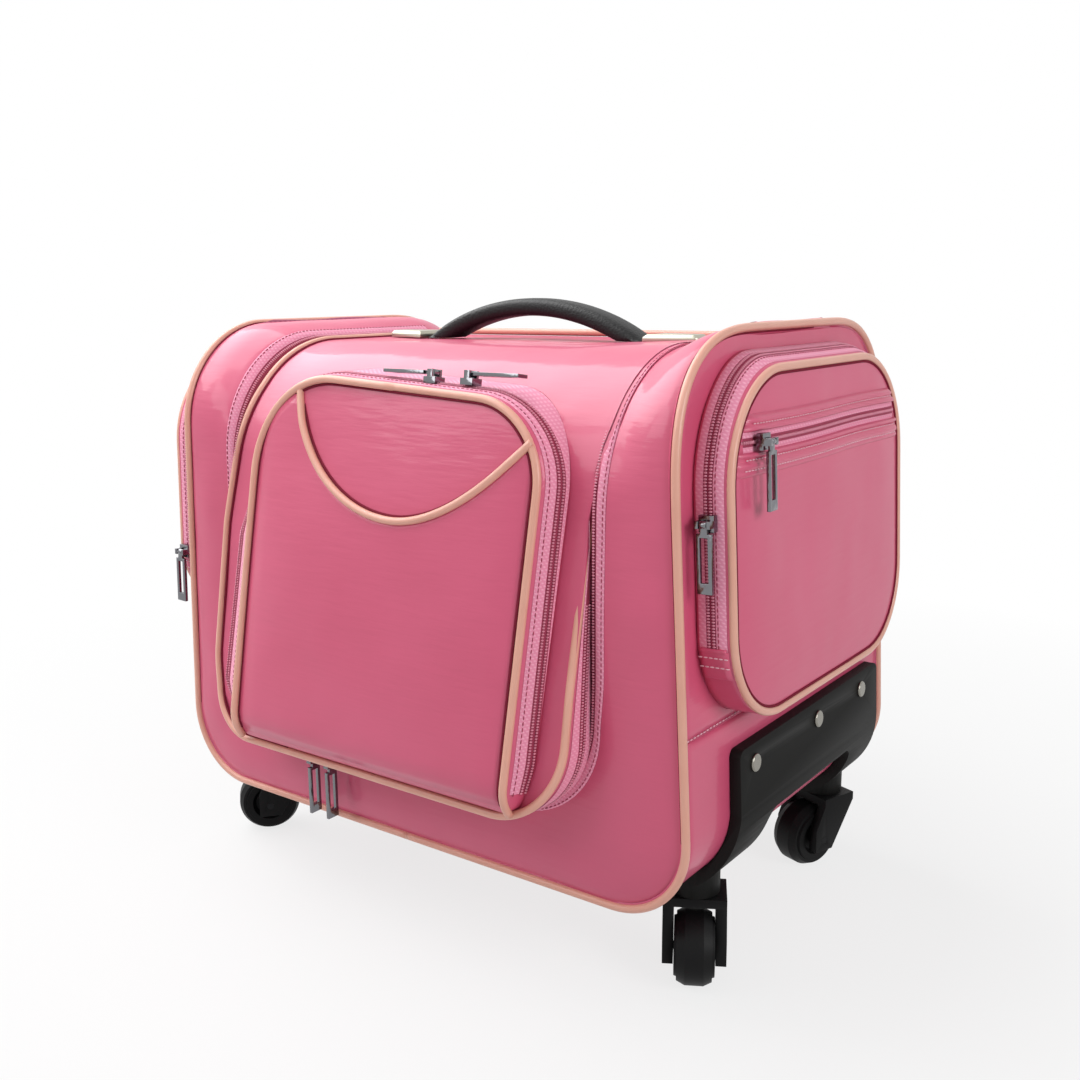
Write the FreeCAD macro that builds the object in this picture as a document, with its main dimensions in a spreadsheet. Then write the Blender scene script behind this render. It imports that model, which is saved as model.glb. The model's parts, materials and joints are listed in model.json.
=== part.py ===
"""Soft-sided makeup train case on four casters, in millimetres.

The case is two interlocking wraps: front, top and back in one direction, and both ends with the base in
the other. A zipped flap takes up most of the front and top. +Z is up, the front looks along -Y, and the
origin is on the floor below the middle of the whole case.
"""
import FreeCAD
import Part
import Sketcher
import math
import os
from types import SimpleNamespace
from FreeCAD import Placement, Rotation, Vector

SIZES = {
    # Case
    "base_width": 416,
    "top_width": 385,
    "case_depth": 280,
    "end_rise": 325,
    "crest_rise": 331,
    "middle_rise": 313,
    "lower_corner_radius": 48,
    "end_front_radius": 95,
    "left_front_radius": 52,
    "end_rear_radius": 80,
    "crest_radius": 88,
    "left_crest_radius": 62,
    "middle_radius": 88,
    "panel_wall": 4,
    "end_seam_rise": 106,
    "piping_diameter": 5,
    "piping_proud": 0.4,
    "base_board_thickness": 3,
    "base_board_width": 290,
    "base_board_margin": 6,
    # Flap and its zip
    "flap_width": 286,
    "flap_lower_rise": 50,
    "flap_corner_radius": 44,
    "flap_lean": 30,
    "flap_fold_back": 62,
    "flap_gap": 1.5,
    "flap_lip": 2,
    "gusset_wall": 3,
    "tape_thickness": 1.2,
    "tape_width": 7,
    "soft_gap": 0.4,
    "welt_gap": 0.1,
    # Carry handle
    "handle_back": 7,
    "grip_span": 176,
    "grip_rise": 28,
    "grip_thickness": 12,
    "grip_width": 25,
    "grip_rounding": 4.5,
    "anchor_length": 36,
    "anchor_width": 30,
    "anchor_tip_width": 16,
    "anchor_thickness": 5,
    "anchor_chamfer": 2,
    # Front pocket
    "front_pocket_width": 228,
    "front_pocket_height": 238,
    "front_pocket_stand": 44,
    "front_pocket_lean": 8.4,
    "front_pocket_step": 8,
    "front_pocket_top_radius": 40,
    "front_pocket_foot_radius": 8,
    "front_pocket_hinge_gap": 1.4,
    "front_pocket_tape_start": 20,
    "front_pocket_tape_inset": 6,
    "scoop_low": 155,
    "scoop_high": 218,
    "scoop_half_span": 99,
    "scoop_thickness": 1.5,
    "scoop_piping_diameter": 3.5,
    # End pockets
    "end_pocket_width": 244,
    "end_pocket_height": 197,
    "end_pocket_rise": 108,
    "end_pocket_depth": 21,
    "left_pocket_depth": 28,
    "left_pocket_shift": 6,
    "end_pocket_top_radius": 64,
    "end_pocket_foot_radius": 46,
    "end_pocket_crown": 3,
    "end_pocket_crown_inset": 14,
    "end_tape_start": 46,
    "end_tape_width": 13,
    "end_tab_height": 13,
    "end_tab_thickness": 2.2,
    "slit_rise": 158,
    "slit_height": 19,
    "slit_length": 208,
    # Zip sliders and pulls
    "slider_length": 9,
    "slider_width": 9,
    "slider_height": 4,
    "slider_lug": 2,
    "slider_pin_diameter": 2,
    "pull_fit": 0.06,
    "pull_neck": 4.8,
    "pull_length": 37,
    "pull_width": 9,
    "pull_thickness": 2.2,
    "pull_bar": 2.2,
    "pull_foot": 6,
    "main_zip_meet": -61,
    "pocket_zip_meet": 45,
    "main_slider_spacing": 16,
    "pocket_slider_spacing": 28,
    "end_slider_rise": 118,
    "left_slider_rise": 53,
    "slit_slider_inset": 10,
    # Casters
    "wheel_diameter": 45,
    "wheel_width": 21,
    "wheel_round": 5,
    "hub_dish": 3,
    "hub_diameter": 24,
    "hub_boss_radius": 6,
    "hub_boss_tip": 5,
    "axle_diameter": 5,
    "axle_fit": 0.05,
    "fork_gap": 25,
    "fork_leg": 6.5,
    "fork_toe": 8,
    "caster_trail": 14,
    "crown_gap": 2,
    "crown_thickness": 5.5,
    "crown_reach": 14,
    "stem_diameter": 8,
    "stem_fit": 0.06,
    "stem_head_diameter": 13,
    "stem_head_thickness": 1.6,
    "stem_head_gap": 0.3,
    "swivel_gap": 0.5,
    "swivel_half_width": 180,
    "swivel_front": -82,
    "swivel_rear": 102,
    "front_right_yaw": -61,
    "rear_right_yaw": -110,
    "front_left_yaw": -130,
    "rear_left_yaw": -120,
    # Wheel brackets
    "bracket_thickness": 7,
    "bracket_top_rise": 88,
    "bracket_arch_rise": 38,
    "bracket_front": -88,
    "bracket_rear": 120,
    "bracket_leg_width": 42,
    "bracket_leg_flare": 19,
    "bracket_foot_half": 162,
    "boss_diameter": 30,
    "rivet_rise": 76,
    "rivet_head_diameter": 11,
    "rivet_head_thickness": 1.8,
    "rivet_head_rounding": 1.1,
    "rivet_shank_diameter": 6,
    "rivet_front": -70,
    "rivet_middle": 19,
    "rivet_rear": 90,
    # Pull-out trolley handle on the back
    "housing_width": 190,
    "housing_depth": 20,
    "housing_low_rise": 8,
    "housing_top_rise": 276,
    "tube_spacing": 140,
    "tube_width": 20,
    "tube_depth": 12,
    "tube_wall": 1,
    "tube_fit": 0.2,
    "tube_step": 4,
    "trolley_grip_height": 18,
    "trolley_grip_depth": 15,
    "trolley_grip_width": 174,
    "trolley_grip_rounding": 5,
    "button_length": 34,
    "button_width": 8,
    "button_depth": 6,
    "button_stand": 2,
    "button_travel": 3,
    "button_fit": 0.3,
}

doc = FreeCAD.newDocument("train_case")
sheet = doc.addObject("Spreadsheet::Sheet", "Sizes")
for row, (alias, number) in enumerate(SIZES.items(), start=1):
    sheet.set(f"A{row}", alias)
    sheet.set(f"B{row}", str(number))
    sheet.setAlias(f"B{row}", alias)
doc.recompute()
d = SimpleNamespace(**{alias: float(sheet.get(alias)) for alias in SIZES})

# Heights and half sizes that several pieces share
fork_top = d.wheel_diameter + d.crown_gap + d.crown_thickness
boss_low = fork_top + d.swivel_gap
case_low = boss_low + d.bracket_thickness
half_depth = d.case_depth / 2
top = case_low + d.middle_rise
taper = (d.base_width - d.top_width) / 2 / d.end_rise
taper_angle = math.degrees(math.atan(taper))
piping_radius = d.piping_diameter / 2
piping_inset = piping_radius - d.piping_proud
flap_half = d.flap_width / 2
flap_low = case_low + d.flap_lower_rise
fold_y = d.flap_fold_back
pocket_low = flap_low + d.front_pocket_step
beyond = d.base_width + d.case_depth
front_reach = d.front_pocket_stand + piping_radius
frame_shift = (front_reach - d.housing_depth) / 2
case_frame = Placement(Vector(0, frame_shift, 0), Rotation())
edge_slack = 1  # tolerance for picking out an edge by where it lies
subparts = []


def half_width(height, inset=0):
    """Half the width of the case between its sloping ends at a height above the floor."""
    return d.base_width / 2 - (height - case_low) * taper - inset / math.cos(math.radians(taper_angle))


def rounded_wire(corners):
    """Closed outline of straight sides, each corner given as a point and its radius."""
    turns = []
    for index, (point, radius) in enumerate(corners):
        if radius <= 0:
            turns.append((point, None, point))
            continue
        before = (corners[index - 1][0] - point).normalize()
        after = (corners[(index + 1) % len(corners)][0] - point).normalize()
        half_angle = before.getAngle(after) / 2
        inward = (before + after).normalize()
        reach = radius / math.tan(half_angle)
        middle = point + inward * (radius / math.sin(half_angle) - radius)
        turns.append((point + before * reach, middle, point + after * reach))
    edges = []
    for index, (start, middle, end) in enumerate(turns):
        if middle is not None:
            edges.append(Part.Arc(start, middle, end).toShape())
        following = turns[(index + 1) % len(turns)][0]
        edges.append(Part.LineSegment(end, following).toShape())
    return Part.Wire(edges)


def prism(wire, along):
    """Solid of a flat outline carried along a vector."""
    return Part.Face(wire).extrude(along)


def tube(edges, radius):
    """Round cord along a smooth run of edges."""
    start = edges[0].valueAt(edges[0].FirstParameter)
    heading = edges[0].tangentAt(edges[0].FirstParameter)
    section = Part.Wire(Part.makeCircle(radius, start, heading))
    return Part.Wire(edges).makePipeShell([section], True, False)


def line(start, end):
    return Part.LineSegment(start, end).toShape()


def arc(start, middle, end):
    return Part.Arc(start, middle, end).toShape()


def box(low, high):
    """Block between two opposite corners."""
    size = high - low
    return Part.makeBox(size.x, size.y, size.z, low)


def mirrored(shape):
    """The same shape on the other side of the middle plane."""
    return shape.mirror(Vector(0, 0, 0), Vector(1, 0, 0))


def keep(label, shape, frame=None):
    """Add a finished shape to the document as a sub-part of its own."""
    piece = doc.addObject("Part::Feature", label)
    piece.Label = label
    piece.Shape = shape
    piece.Placement = case_frame * (frame or Placement()) * shape.Placement
    subparts.append(piece)
    return piece


def amount(formula):
    """Value of a sheet formula."""
    return float(sheet.evalExpression(formula))


def bind(piece, formulas):
    """Tie properties of an object to the sheet."""
    for name, formula in formulas.items():
        piece.setExpression(name, formula)


def new_body(label, frame):
    body = doc.addObject("PartDesign::Body", label)
    body.Label = label
    body.Placement = case_frame * frame
    subparts.append(body)
    return body


def new_sketch(body, name, plane):
    sketch = body.newObject("Sketcher::SketchObject", name)
    support = [feature for feature in body.Origin.OriginFeatures if feature.Role == plane][0]
    sketch.AttachmentSupport = (support, [""])
    sketch.MapMode = "FlatFace"
    return sketch


def draw_outline(sketch, corners):
    """Closed straight-sided outline whose corners are pairs of sheet formulas."""
    points = [Vector(amount(across), amount(up), 0) for across, up in corners]
    first = sketch.GeometryCount
    for start, end in zip(points, points[1:] + points[:1]):
        sketch.addGeometry(Part.LineSegment(start, end), False)
    for index, (across, up) in enumerate(corners):
        geometry = first + index
        before = first + (index - 1) % len(corners)
        sketch.addConstraint(Sketcher.Constraint("Coincident", before, 2, geometry, 1))
        for kind, formula in (("DistanceX", across), ("DistanceY", up)):
            rule = Sketcher.Constraint(kind, -1, 1, geometry, 1, amount(formula))
            place = sketch.addConstraint(rule)
            sketch.setExpression(f"Constraints[{place}]", formula)


def draw_circle(sketch, across, up, radius):
    """Circle whose centre and radius are sheet formulas."""
    centre = Vector(amount(across), amount(up), 0)
    circle = sketch.addGeometry(Part.Circle(centre, Vector(0, 0, 1), amount(radius)), False)
    rules = (
        (Sketcher.Constraint("DistanceX", -1, 1, circle, 3, centre.x), across),
        (Sketcher.Constraint("DistanceY", -1, 1, circle, 3, centre.y), up),
        (Sketcher.Constraint("Radius", circle, amount(radius)), radius),
    )
    for rule, formula in rules:
        place = sketch.addConstraint(rule)
        sketch.setExpression(f"Constraints[{place}]", formula)


def pad(body, sketch, length, midplane=False, reverse=False):
    feature = body.newObject("PartDesign::Pad", sketch.Name + "_pad")
    feature.Profile = sketch
    feature.setExpression("Length", length)
    feature.SideType = "Symmetric" if midplane else "One side"
    feature.Reversed = reverse
    return feature


def pocket(body, sketch, reach):
    """Cut a sketch through the body on both sides of its plane."""
    feature = body.newObject("PartDesign::Pocket", sketch.Name + "_cut")
    feature.Profile = sketch
    feature.setExpression("Length", reach)
    feature.SideType = "Symmetric"
    return feature


# Case walls

def front_prism(inset):
    """Front view of the case, sloping ends and rounded lower corners, carried through its depth."""
    low = case_low + inset
    high = case_low + d.end_rise * 2
    radius = d.lower_corner_radius - inset
    outline = rounded_wire([
        (Vector(-half_width(low, inset), -beyond, low), radius),
        (Vector(half_width(low, inset), -beyond, low), radius),
        (Vector(half_width(high, inset), -beyond, high), 0),
        (Vector(-half_width(high, inset), -beyond, high), 0),
    ])
    return prism(outline, Vector(0, 2 * beyond, 0))


def wrap_section(place, rise, front_radius, rear_radius, inset):
    """End view of the case at one place along its width."""
    depth = half_depth - inset
    low = case_low + inset
    high = case_low + rise - inset
    return rounded_wire([
        (Vector(place, -depth, low), 0),
        (Vector(place, depth, low), 0),
        (Vector(place, depth, high), rear_radius - inset),
        (Vector(place, -depth, high), front_radius - inset),
    ])


def case_solid(inset):
    """The case as a full solid, smaller by an inset: low across the flap, a soft roll near each end."""
    end = (d.end_rise, d.end_front_radius, d.end_rear_radius)
    crest = (d.crest_rise, d.crest_radius, d.end_rear_radius)
    left_end = (d.end_rise, d.left_front_radius, d.end_rear_radius)
    left_crest = (d.crest_rise, d.left_crest_radius, d.end_rear_radius)
    middle = (d.middle_rise, d.middle_radius, d.middle_radius)
    near = flap_half + d.flap_gap
    far = d.top_width / 2
    roll = (near + far) / 2
    stations = [(-beyond, left_end), (-far, left_end), (-roll, left_crest), (-near, middle)]
    stations += [(near, middle), (roll, crest), (far, end), (beyond, end)]
    sections = [wrap_section(place, *shape, inset) for place, shape in stations]
    return Part.makeLoft(sections, True, True).common(front_prism(inset))


def flap_prism(outset, back):
    """Front view of the flap, rounded at its lower corners, carried back to a depth."""
    half = flap_half + outset
    low = flap_low - outset
    high = case_low + d.end_rise * 2
    radius = d.flap_corner_radius + outset
    outline = rounded_wire([
        (Vector(-half, -beyond, low), radius),
        (Vector(half, -beyond, low), radius),
        (Vector(half, -beyond, high), 0),
        (Vector(-half, -beyond, high), 0),
    ])
    return prism(outline, Vector(0, beyond + back, 0))


def seam_cord(front_radius, cord_size):
    """Right half of the piping: base edge, lower corner, front edge, over the end, and down the back."""
    radius = d.lower_corner_radius
    ceiling = case_low + d.end_rise
    slope = math.radians(taper_angle)
    turn = math.pi / 2 + slope
    reach = radius * math.tan(turn / 2)
    corner = half_width(case_low)
    start_x = corner - reach
    side = Vector(corner - reach * math.sin(slope), 0, case_low + reach * math.cos(slope))
    centre = Vector(start_x, 0, case_low + radius)
    swing = turn / 2
    middle = centre + Vector(math.sin(swing), 0, -math.cos(swing)) * radius
    ceiling_x = half_width(ceiling)
    diagonal = 1 - math.sqrt(0.5)
    edges = [line(Vector(0, -half_depth, case_low), Vector(start_x, -half_depth, case_low))]

    def at(point, depth):
        return Vector(point.x, depth, point.z)

    def bend(radius_here, sign):
        base = ceiling - radius_here
        low = Vector(half_width(base), sign * half_depth, base)
        mid_z = ceiling - radius_here * diagonal
        mid = Vector(half_width(mid_z), sign * (half_depth - radius_here * diagonal), mid_z)
        high = Vector(ceiling_x, sign * (half_depth - radius_here), ceiling)
        return low, mid, high

    front_low, front_mid, front_high = bend(front_radius, -1)
    rear_low, rear_mid, rear_high = bend(d.end_rear_radius, 1)
    bottom = Vector(start_x, 0, case_low)
    edges.append(arc(at(bottom, -half_depth), at(middle, -half_depth), at(side, -half_depth)))
    edges.append(line(at(side, -half_depth), front_low))
    edges.append(arc(front_low, front_mid, front_high))
    edges.append(line(front_high, rear_high))
    edges.append(arc(rear_high, rear_mid, rear_low))
    edges.append(line(rear_low, at(side, half_depth)))
    edges.append(arc(at(side, half_depth), at(middle, half_depth), at(bottom, half_depth)))
    edges.append(line(at(bottom, half_depth), Vector(0, half_depth, case_low)))
    return tube(edges, cord_size)


outer_case = case_solid(0)
flap_opening = flap_prism(d.flap_gap, fold_y + d.flap_gap / 2)
right_cord = seam_cord(d.end_front_radius, piping_radius)
left_cord = mirrored(seam_cord(d.left_front_radius, piping_radius))
cord_room = piping_radius + d.welt_gap
right_room = seam_cord(d.end_front_radius, cord_room)
left_room = mirrored(seam_cord(d.left_front_radius, cord_room))
shell = outer_case.cut(case_solid(d.panel_wall)).cut(flap_opening).cut(right_room).cut(left_room)
end_ring = front_prism(0).cut(front_prism(d.panel_wall))
wrap = shell.cut(end_ring)
gusset = shell.common(end_ring)
end_seam = case_low + d.end_seam_rise
far_low = Vector(-beyond, -beyond, -beyond)
far_high = Vector(beyond, beyond, beyond)
keep("front_panel", wrap.common(box(far_low, Vector(beyond, fold_y, beyond))))
keep("back_panel", wrap.common(box(Vector(-beyond, fold_y, -beyond), far_high)))
keep("base_panel", gusset.common(box(far_low, Vector(beyond, beyond, end_seam))))
keep("right_end_panel", gusset.common(box(Vector(0, -beyond, end_seam), far_high)))
keep("left_end_panel", gusset.common(box(Vector(-beyond, -beyond, end_seam), Vector(0, beyond, beyond))))
keep("seam_piping", Part.makeCompound([right_cord, left_cord]))
case_strip = case_solid(-d.tape_thickness).cut(outer_case).common(
    flap_prism(d.flap_gap + d.tape_width, fold_y - d.flap_gap).cut(flap_opening))
keep("main_zip_case_tape", case_strip)

base_board = doc.addObject("Part::Box", "base_board")
bind(base_board, {
    "Length": "Sizes.base_board_width",
    "Width": "Sizes.case_depth - 2 * (Sizes.panel_wall + Sizes.base_board_margin)",
    "Height": "Sizes.base_board_thickness",
})
board_depth = d.case_depth - 2 * (d.panel_wall + d.base_board_margin)
base_board.Placement = case_frame * Placement(
    Vector(-d.base_board_width / 2, -board_depth / 2, case_low + d.panel_wall), Rotation())
subparts.append(base_board)

# Flap

turn_centre = Vector(0, -half_depth + d.middle_radius, top - d.middle_radius)
foot = Vector(0, -half_depth - d.flap_lean, flap_low)
to_centre = turn_centre - foot
lean_up = math.atan2(to_centre.z, to_centre.y) + math.asin(d.middle_radius / to_centre.Length)
flap_up = Vector(0, math.cos(lean_up), math.sin(lean_up))
flap_out = Vector(0, -math.sin(lean_up), math.cos(lean_up))


def flap_turn(inset):
    """Where the flap's flat front, moved in by an inset, meets its round top edge."""
    return turn_centre + flap_out * (d.middle_radius - inset)


def flap_front(inset, height):
    """Point of the flap's flat front, moved in by an inset, at a height."""
    corner = flap_turn(inset)
    return corner + flap_up * ((height - corner.z) / flap_up.z)


def flap_over(inset):
    """Arc of the flap's round top edge, from its front to its top."""
    radius = d.middle_radius - inset
    start = flap_turn(inset)
    end = turn_centre + Vector(0, 0, radius)
    middle = turn_centre + (flap_out + Vector(0, 0, 1)).normalize() * radius
    return start, middle, end


def flap_block(inset, low, inner, half):
    """End view of the flap, closed by a list of inner corners, carried across a width."""
    start, middle, end = flap_over(inset)
    points = [end] + inner + [flap_front(inset, low)]
    edges = [line(flap_front(inset, low), start), arc(start, middle, end)]
    edges += [line(first, second) for first, second in zip(points, points[1:])]
    shift = Vector(-half, 0, 0)
    wire = Part.Wire(edges)
    wire.translate(shift)
    return prism(wire, Vector(2 * half, 0, 0))


rear_y = fold_y - d.flap_gap / 2
lip = d.panel_wall + d.flap_lip
far_back = fold_y + half_depth
full = flap_block(0, flap_low, [
    Vector(0, rear_y, top),
    Vector(0, rear_y, top - lip),
    Vector(0, turn_centre.y, top - lip),
    Vector(0, lip - half_depth, turn_centre.z),
    Vector(0, lip - half_depth, flap_low),
], flap_half)
hollow_low = flap_low + d.gusset_wall
hollow = flap_block(d.panel_wall, hollow_low, [
    Vector(0, far_back, top - d.panel_wall),
    Vector(0, far_back, hollow_low),
], flap_half).common(flap_prism(-d.gusset_wall, far_back))


def flap_cord():
    """Piping along the flap's edge: from the fold, over the top, down the front and across."""
    half = flap_half - piping_inset
    low = flap_low + piping_inset
    radius = d.flap_corner_radius - piping_inset
    diagonal = radius * (1 - math.sqrt(0.5))
    start, middle, end = flap_over(0)
    across = Vector(half, 0, 0)
    corner_top = flap_front(0, low + radius) + across
    corner_mid = flap_front(0, low + diagonal) + Vector(half - diagonal, 0, 0)
    corner_end = flap_front(0, low) + Vector(half - radius, 0, 0)

    def other(point):
        return Vector(-point.x, point.y, point.z)

    right = [Vector(half, rear_y, top), end + across, middle + across, start + across]
    right += [corner_top, corner_mid, corner_end]
    left = [other(point) for point in right]
    edges = [line(right[0], right[1]), arc(right[1], right[2], right[3]), line(right[3], right[4])]
    edges += [arc(right[4], right[5], right[6]), line(right[6], left[6]), arc(left[6], left[5], left[4])]
    edges += [line(left[4], left[3]), arc(left[3], left[2], left[1]), line(left[1], left[0])]
    return tube(edges, piping_radius)


flap_edge = flap_cord()
rabbet_depth = piping_radius + d.soft_gap
rabbet_width = piping_inset + piping_radius + d.soft_gap
core = flap_block(rabbet_depth, flap_low, [
    Vector(0, far_back, top - rabbet_depth),
    Vector(0, far_back, flap_low),
], beyond)
rabbet = full.cut(core).cut(flap_prism(-rabbet_width, beyond))
keep("flap_panel", full.common(flap_prism(0, beyond)).cut(hollow).cut(rabbet))
wedge_front = d.piping_diameter + d.soft_gap
wedge_low = flap_low - 2 * d.tape_thickness
wedge_back = -half_depth - d.soft_gap
wedge_top = flap_front(wedge_front, 0)
wedge_top = wedge_top + flap_up * ((wedge_back - wedge_top.y) / flap_up.y)
wedge = Part.makePolygon([
    flap_front(wedge_front, wedge_low),
    Vector(0, wedge_back, wedge_low),
    wedge_top,
    flap_front(wedge_front, wedge_low),
])
wedge.translate(Vector(-beyond, 0, 0))
flap_tape = flap_prism(d.tape_thickness, 0).cut(flap_prism(0, beyond)).common(
    prism(wedge, Vector(2 * beyond, 0, 0)))
keep("main_zip_flap_tape", flap_tape)

fold_z = top + piping_radius + d.welt_gap
welt_half = flap_half - d.piping_diameter - 2 * d.flap_gap
fold_welt = Part.makeCylinder(
    piping_radius, 2 * welt_half, Vector(-welt_half, fold_y, fold_z), Vector(1, 0, 0))
keep("flap_piping", Part.makeCompound([flap_edge, fold_welt]))

# Carry handle

arch_half = d.grip_span / 2 - d.grip_thickness / 2
arch_crown = d.grip_rise - d.grip_thickness / 2
arch_radius = (arch_half ** 2 + arch_crown ** 2) / (2 * arch_crown)
arch_swing = math.asin(arch_half / arch_radius)
foot_end = arch_half + d.grip_thickness / 2 / math.sin(arch_swing)


def grip_arch():
    """Arched grip of rounded section, cut level where its feet stand on the flap."""
    heading = Vector(math.cos(arch_swing), 0, math.sin(arch_swing))
    left = Vector(-arch_half, d.handle_back, top)
    right = Vector(arch_half, d.handle_back, top)
    before = left - heading * d.grip_thickness
    after = right + Vector(heading.x, 0, -heading.z) * d.grip_thickness
    path = Part.Wire([
        line(before, left),
        arc(left, Vector(0, d.handle_back, top + arch_crown), right),
        line(right, after),
    ])
    lift = heading.cross(Vector(0, -1, 0)) * (d.grip_thickness / 2)
    side = Vector(0, d.grip_width / 2, 0)
    corners = (lift + side, lift - side, -lift - side, side - lift)
    section = rounded_wire([(before + corner, d.grip_rounding) for corner in corners])
    bent = path.makePipeShell([section], True, False)
    return bent.cut(box(far_low, Vector(beyond, beyond, top)))


def anchor_plate():
    """Right-hand plate under the grip's foot, tapering outwards."""
    inner = foot_end + d.soft_gap
    outer = inner + d.anchor_length
    wide = d.anchor_width / 2
    slim = d.anchor_tip_width / 2
    corner = d.anchor_tip_width / 4
    outline = rounded_wire([
        (Vector(inner, d.handle_back - wide, top), 0),
        (Vector(outer, d.handle_back - slim, top), corner),
        (Vector(outer, d.handle_back + slim, top), corner),
        (Vector(inner, d.handle_back + wide, top), 0),
    ])
    block = prism(outline, Vector(0, 0, d.anchor_thickness))
    upper = [edge for edge in block.Edges if edge.BoundBox.ZMin > top + d.anchor_thickness / 2]
    return block.makeChamfer(d.anchor_chamfer, upper)


keep("handle_grip", grip_arch())
plate = anchor_plate()
keep("handle_anchor_plates", Part.makeCompound([plate, mirrored(plate)]))

# Front pocket on the flap

pocket_frame = Placement(
    Vector(0, -half_depth - d.front_pocket_stand, pocket_low),
    Rotation(Vector(1, 0, 0), -d.front_pocket_lean))
pocket_half = d.front_pocket_width / 2


def front_pocket_outline(inset, depth):
    """Face of the front pocket in its own plane, at a depth behind it."""
    half = pocket_half - inset
    high = d.front_pocket_height - inset
    foot_radius = max(d.front_pocket_foot_radius - inset, d.panel_wall / 4)
    return rounded_wire([
        (Vector(-half, depth, inset), foot_radius),
        (Vector(half, depth, inset), foot_radius),
        (Vector(half, depth, high), d.front_pocket_top_radius - inset),
        (Vector(-half, depth, high), d.front_pocket_top_radius - inset),
    ])


def in_pocket(shape):
    """Move a shape from the front pocket's own plane to its place on the case."""
    return shape.transformed(pocket_frame.toMatrix())


def front_pocket_cord():
    """Piping up one side of the pocket, over its top and down the other side."""
    half = pocket_half - piping_inset
    high = d.front_pocket_height - piping_inset
    radius = d.front_pocket_top_radius - piping_inset
    diagonal = radius * (1 - math.sqrt(0.5))
    edges = [line(Vector(half, 0, 0), Vector(half, 0, high - radius))]
    edges.append(arc(
        Vector(half, 0, high - radius),
        Vector(half - diagonal, 0, high - diagonal),
        Vector(half - radius, 0, high)))
    edges.append(line(Vector(half - radius, 0, high), Vector(radius - half, 0, high)))
    edges.append(arc(
        Vector(radius - half, 0, high),
        Vector(diagonal - half, 0, high - diagonal),
        Vector(-half, 0, high - radius)))
    edges.append(line(Vector(-half, 0, high - radius), Vector(-half, 0, 0)))
    return tube(edges, piping_radius)


pocket_hinge = flap_front(0, flap_low + piping_inset)
hinge_room = Part.makeCylinder(
    piping_radius + d.front_pocket_hinge_gap, d.base_width,
    pocket_hinge - Vector(d.base_width / 2, 0, 0), Vector(1, 0, 0))
inward = Vector(0, half_depth, 0)
flap_solid = flap_block(-d.soft_gap, case_low, [
    Vector(0, far_back, top + d.soft_gap),
    Vector(0, far_back, case_low),
], beyond)
pocket_edge = front_pocket_cord()
pocket_shell = prism(front_pocket_outline(0, 0), inward).cut(
    prism(front_pocket_outline(d.gusset_wall, d.gusset_wall), inward)).cut(pocket_edge)
keep("front_pocket_panel", in_pocket(pocket_shell).cut(flap_solid).cut(hinge_room))
tape_low = box(Vector(-beyond, -beyond, d.front_pocket_tape_start), far_high)
pocket_tape = prism(front_pocket_outline(-d.tape_thickness, d.front_pocket_tape_inset), inward).cut(
    prism(front_pocket_outline(0, 0), inward)).common(tape_low)
keep("front_pocket_zip_tape", in_pocket(pocket_tape).cut(flap_solid))

scoop_sag = d.scoop_high - d.scoop_low
scoop_radius = (d.scoop_half_span ** 2 + scoop_sag ** 2) / (2 * scoop_sag)
cord_radius = d.scoop_piping_diameter / 2
cord_y = -cord_radius - d.welt_gap
scoop_cord = tube([arc(
    Vector(-d.scoop_half_span, cord_y, d.scoop_high),
    Vector(0, cord_y, d.scoop_low),
    Vector(d.scoop_half_span, cord_y, d.scoop_high))], cord_radius)
neckline = Part.makeCylinder(
    scoop_radius, beyond, Vector(0, -beyond / 2, d.scoop_low + scoop_radius), Vector(0, 1, 0))
above = box(Vector(-beyond, -beyond, d.scoop_high), far_high)
scoop = prism(front_pocket_outline(d.piping_diameter + d.soft_gap, -d.scoop_thickness),
              Vector(0, d.scoop_thickness, 0)).cut(neckline).cut(above).cut(scoop_cord)
keep("scoop_panel", in_pocket(scoop))
keep("front_pocket_piping", Part.makeCompound([in_pocket(pocket_edge), in_pocket(scoop_cord)]))

# End pockets, each in a frame whose +X points out of the end panel

end_pocket_low = case_low + d.end_pocket_rise
lean_in = Rotation(Vector(0, 1, 0), -taper_angle)
about_face = Rotation(Vector(0, 0, 1), 180)
right_frame = Placement(Vector(half_width(end_pocket_low), 0, end_pocket_low), lean_in)
left_place = Vector(-half_width(end_pocket_low), -d.left_pocket_shift, end_pocket_low)
left_frame = Placement(left_place, about_face * lean_in)
end_half = d.end_pocket_width / 2


def end_pocket_outline(inset, out):
    """Outline of an end pocket at a distance out from the end panel."""
    half = end_half - inset
    high = d.end_pocket_height - inset
    return rounded_wire([
        (Vector(out, -half, inset), d.end_pocket_foot_radius - inset),
        (Vector(out, half, inset), d.end_pocket_foot_radius - inset),
        (Vector(out, half, high), d.end_pocket_top_radius - inset),
        (Vector(out, -half, high), d.end_pocket_top_radius - inset),
    ])


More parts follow.
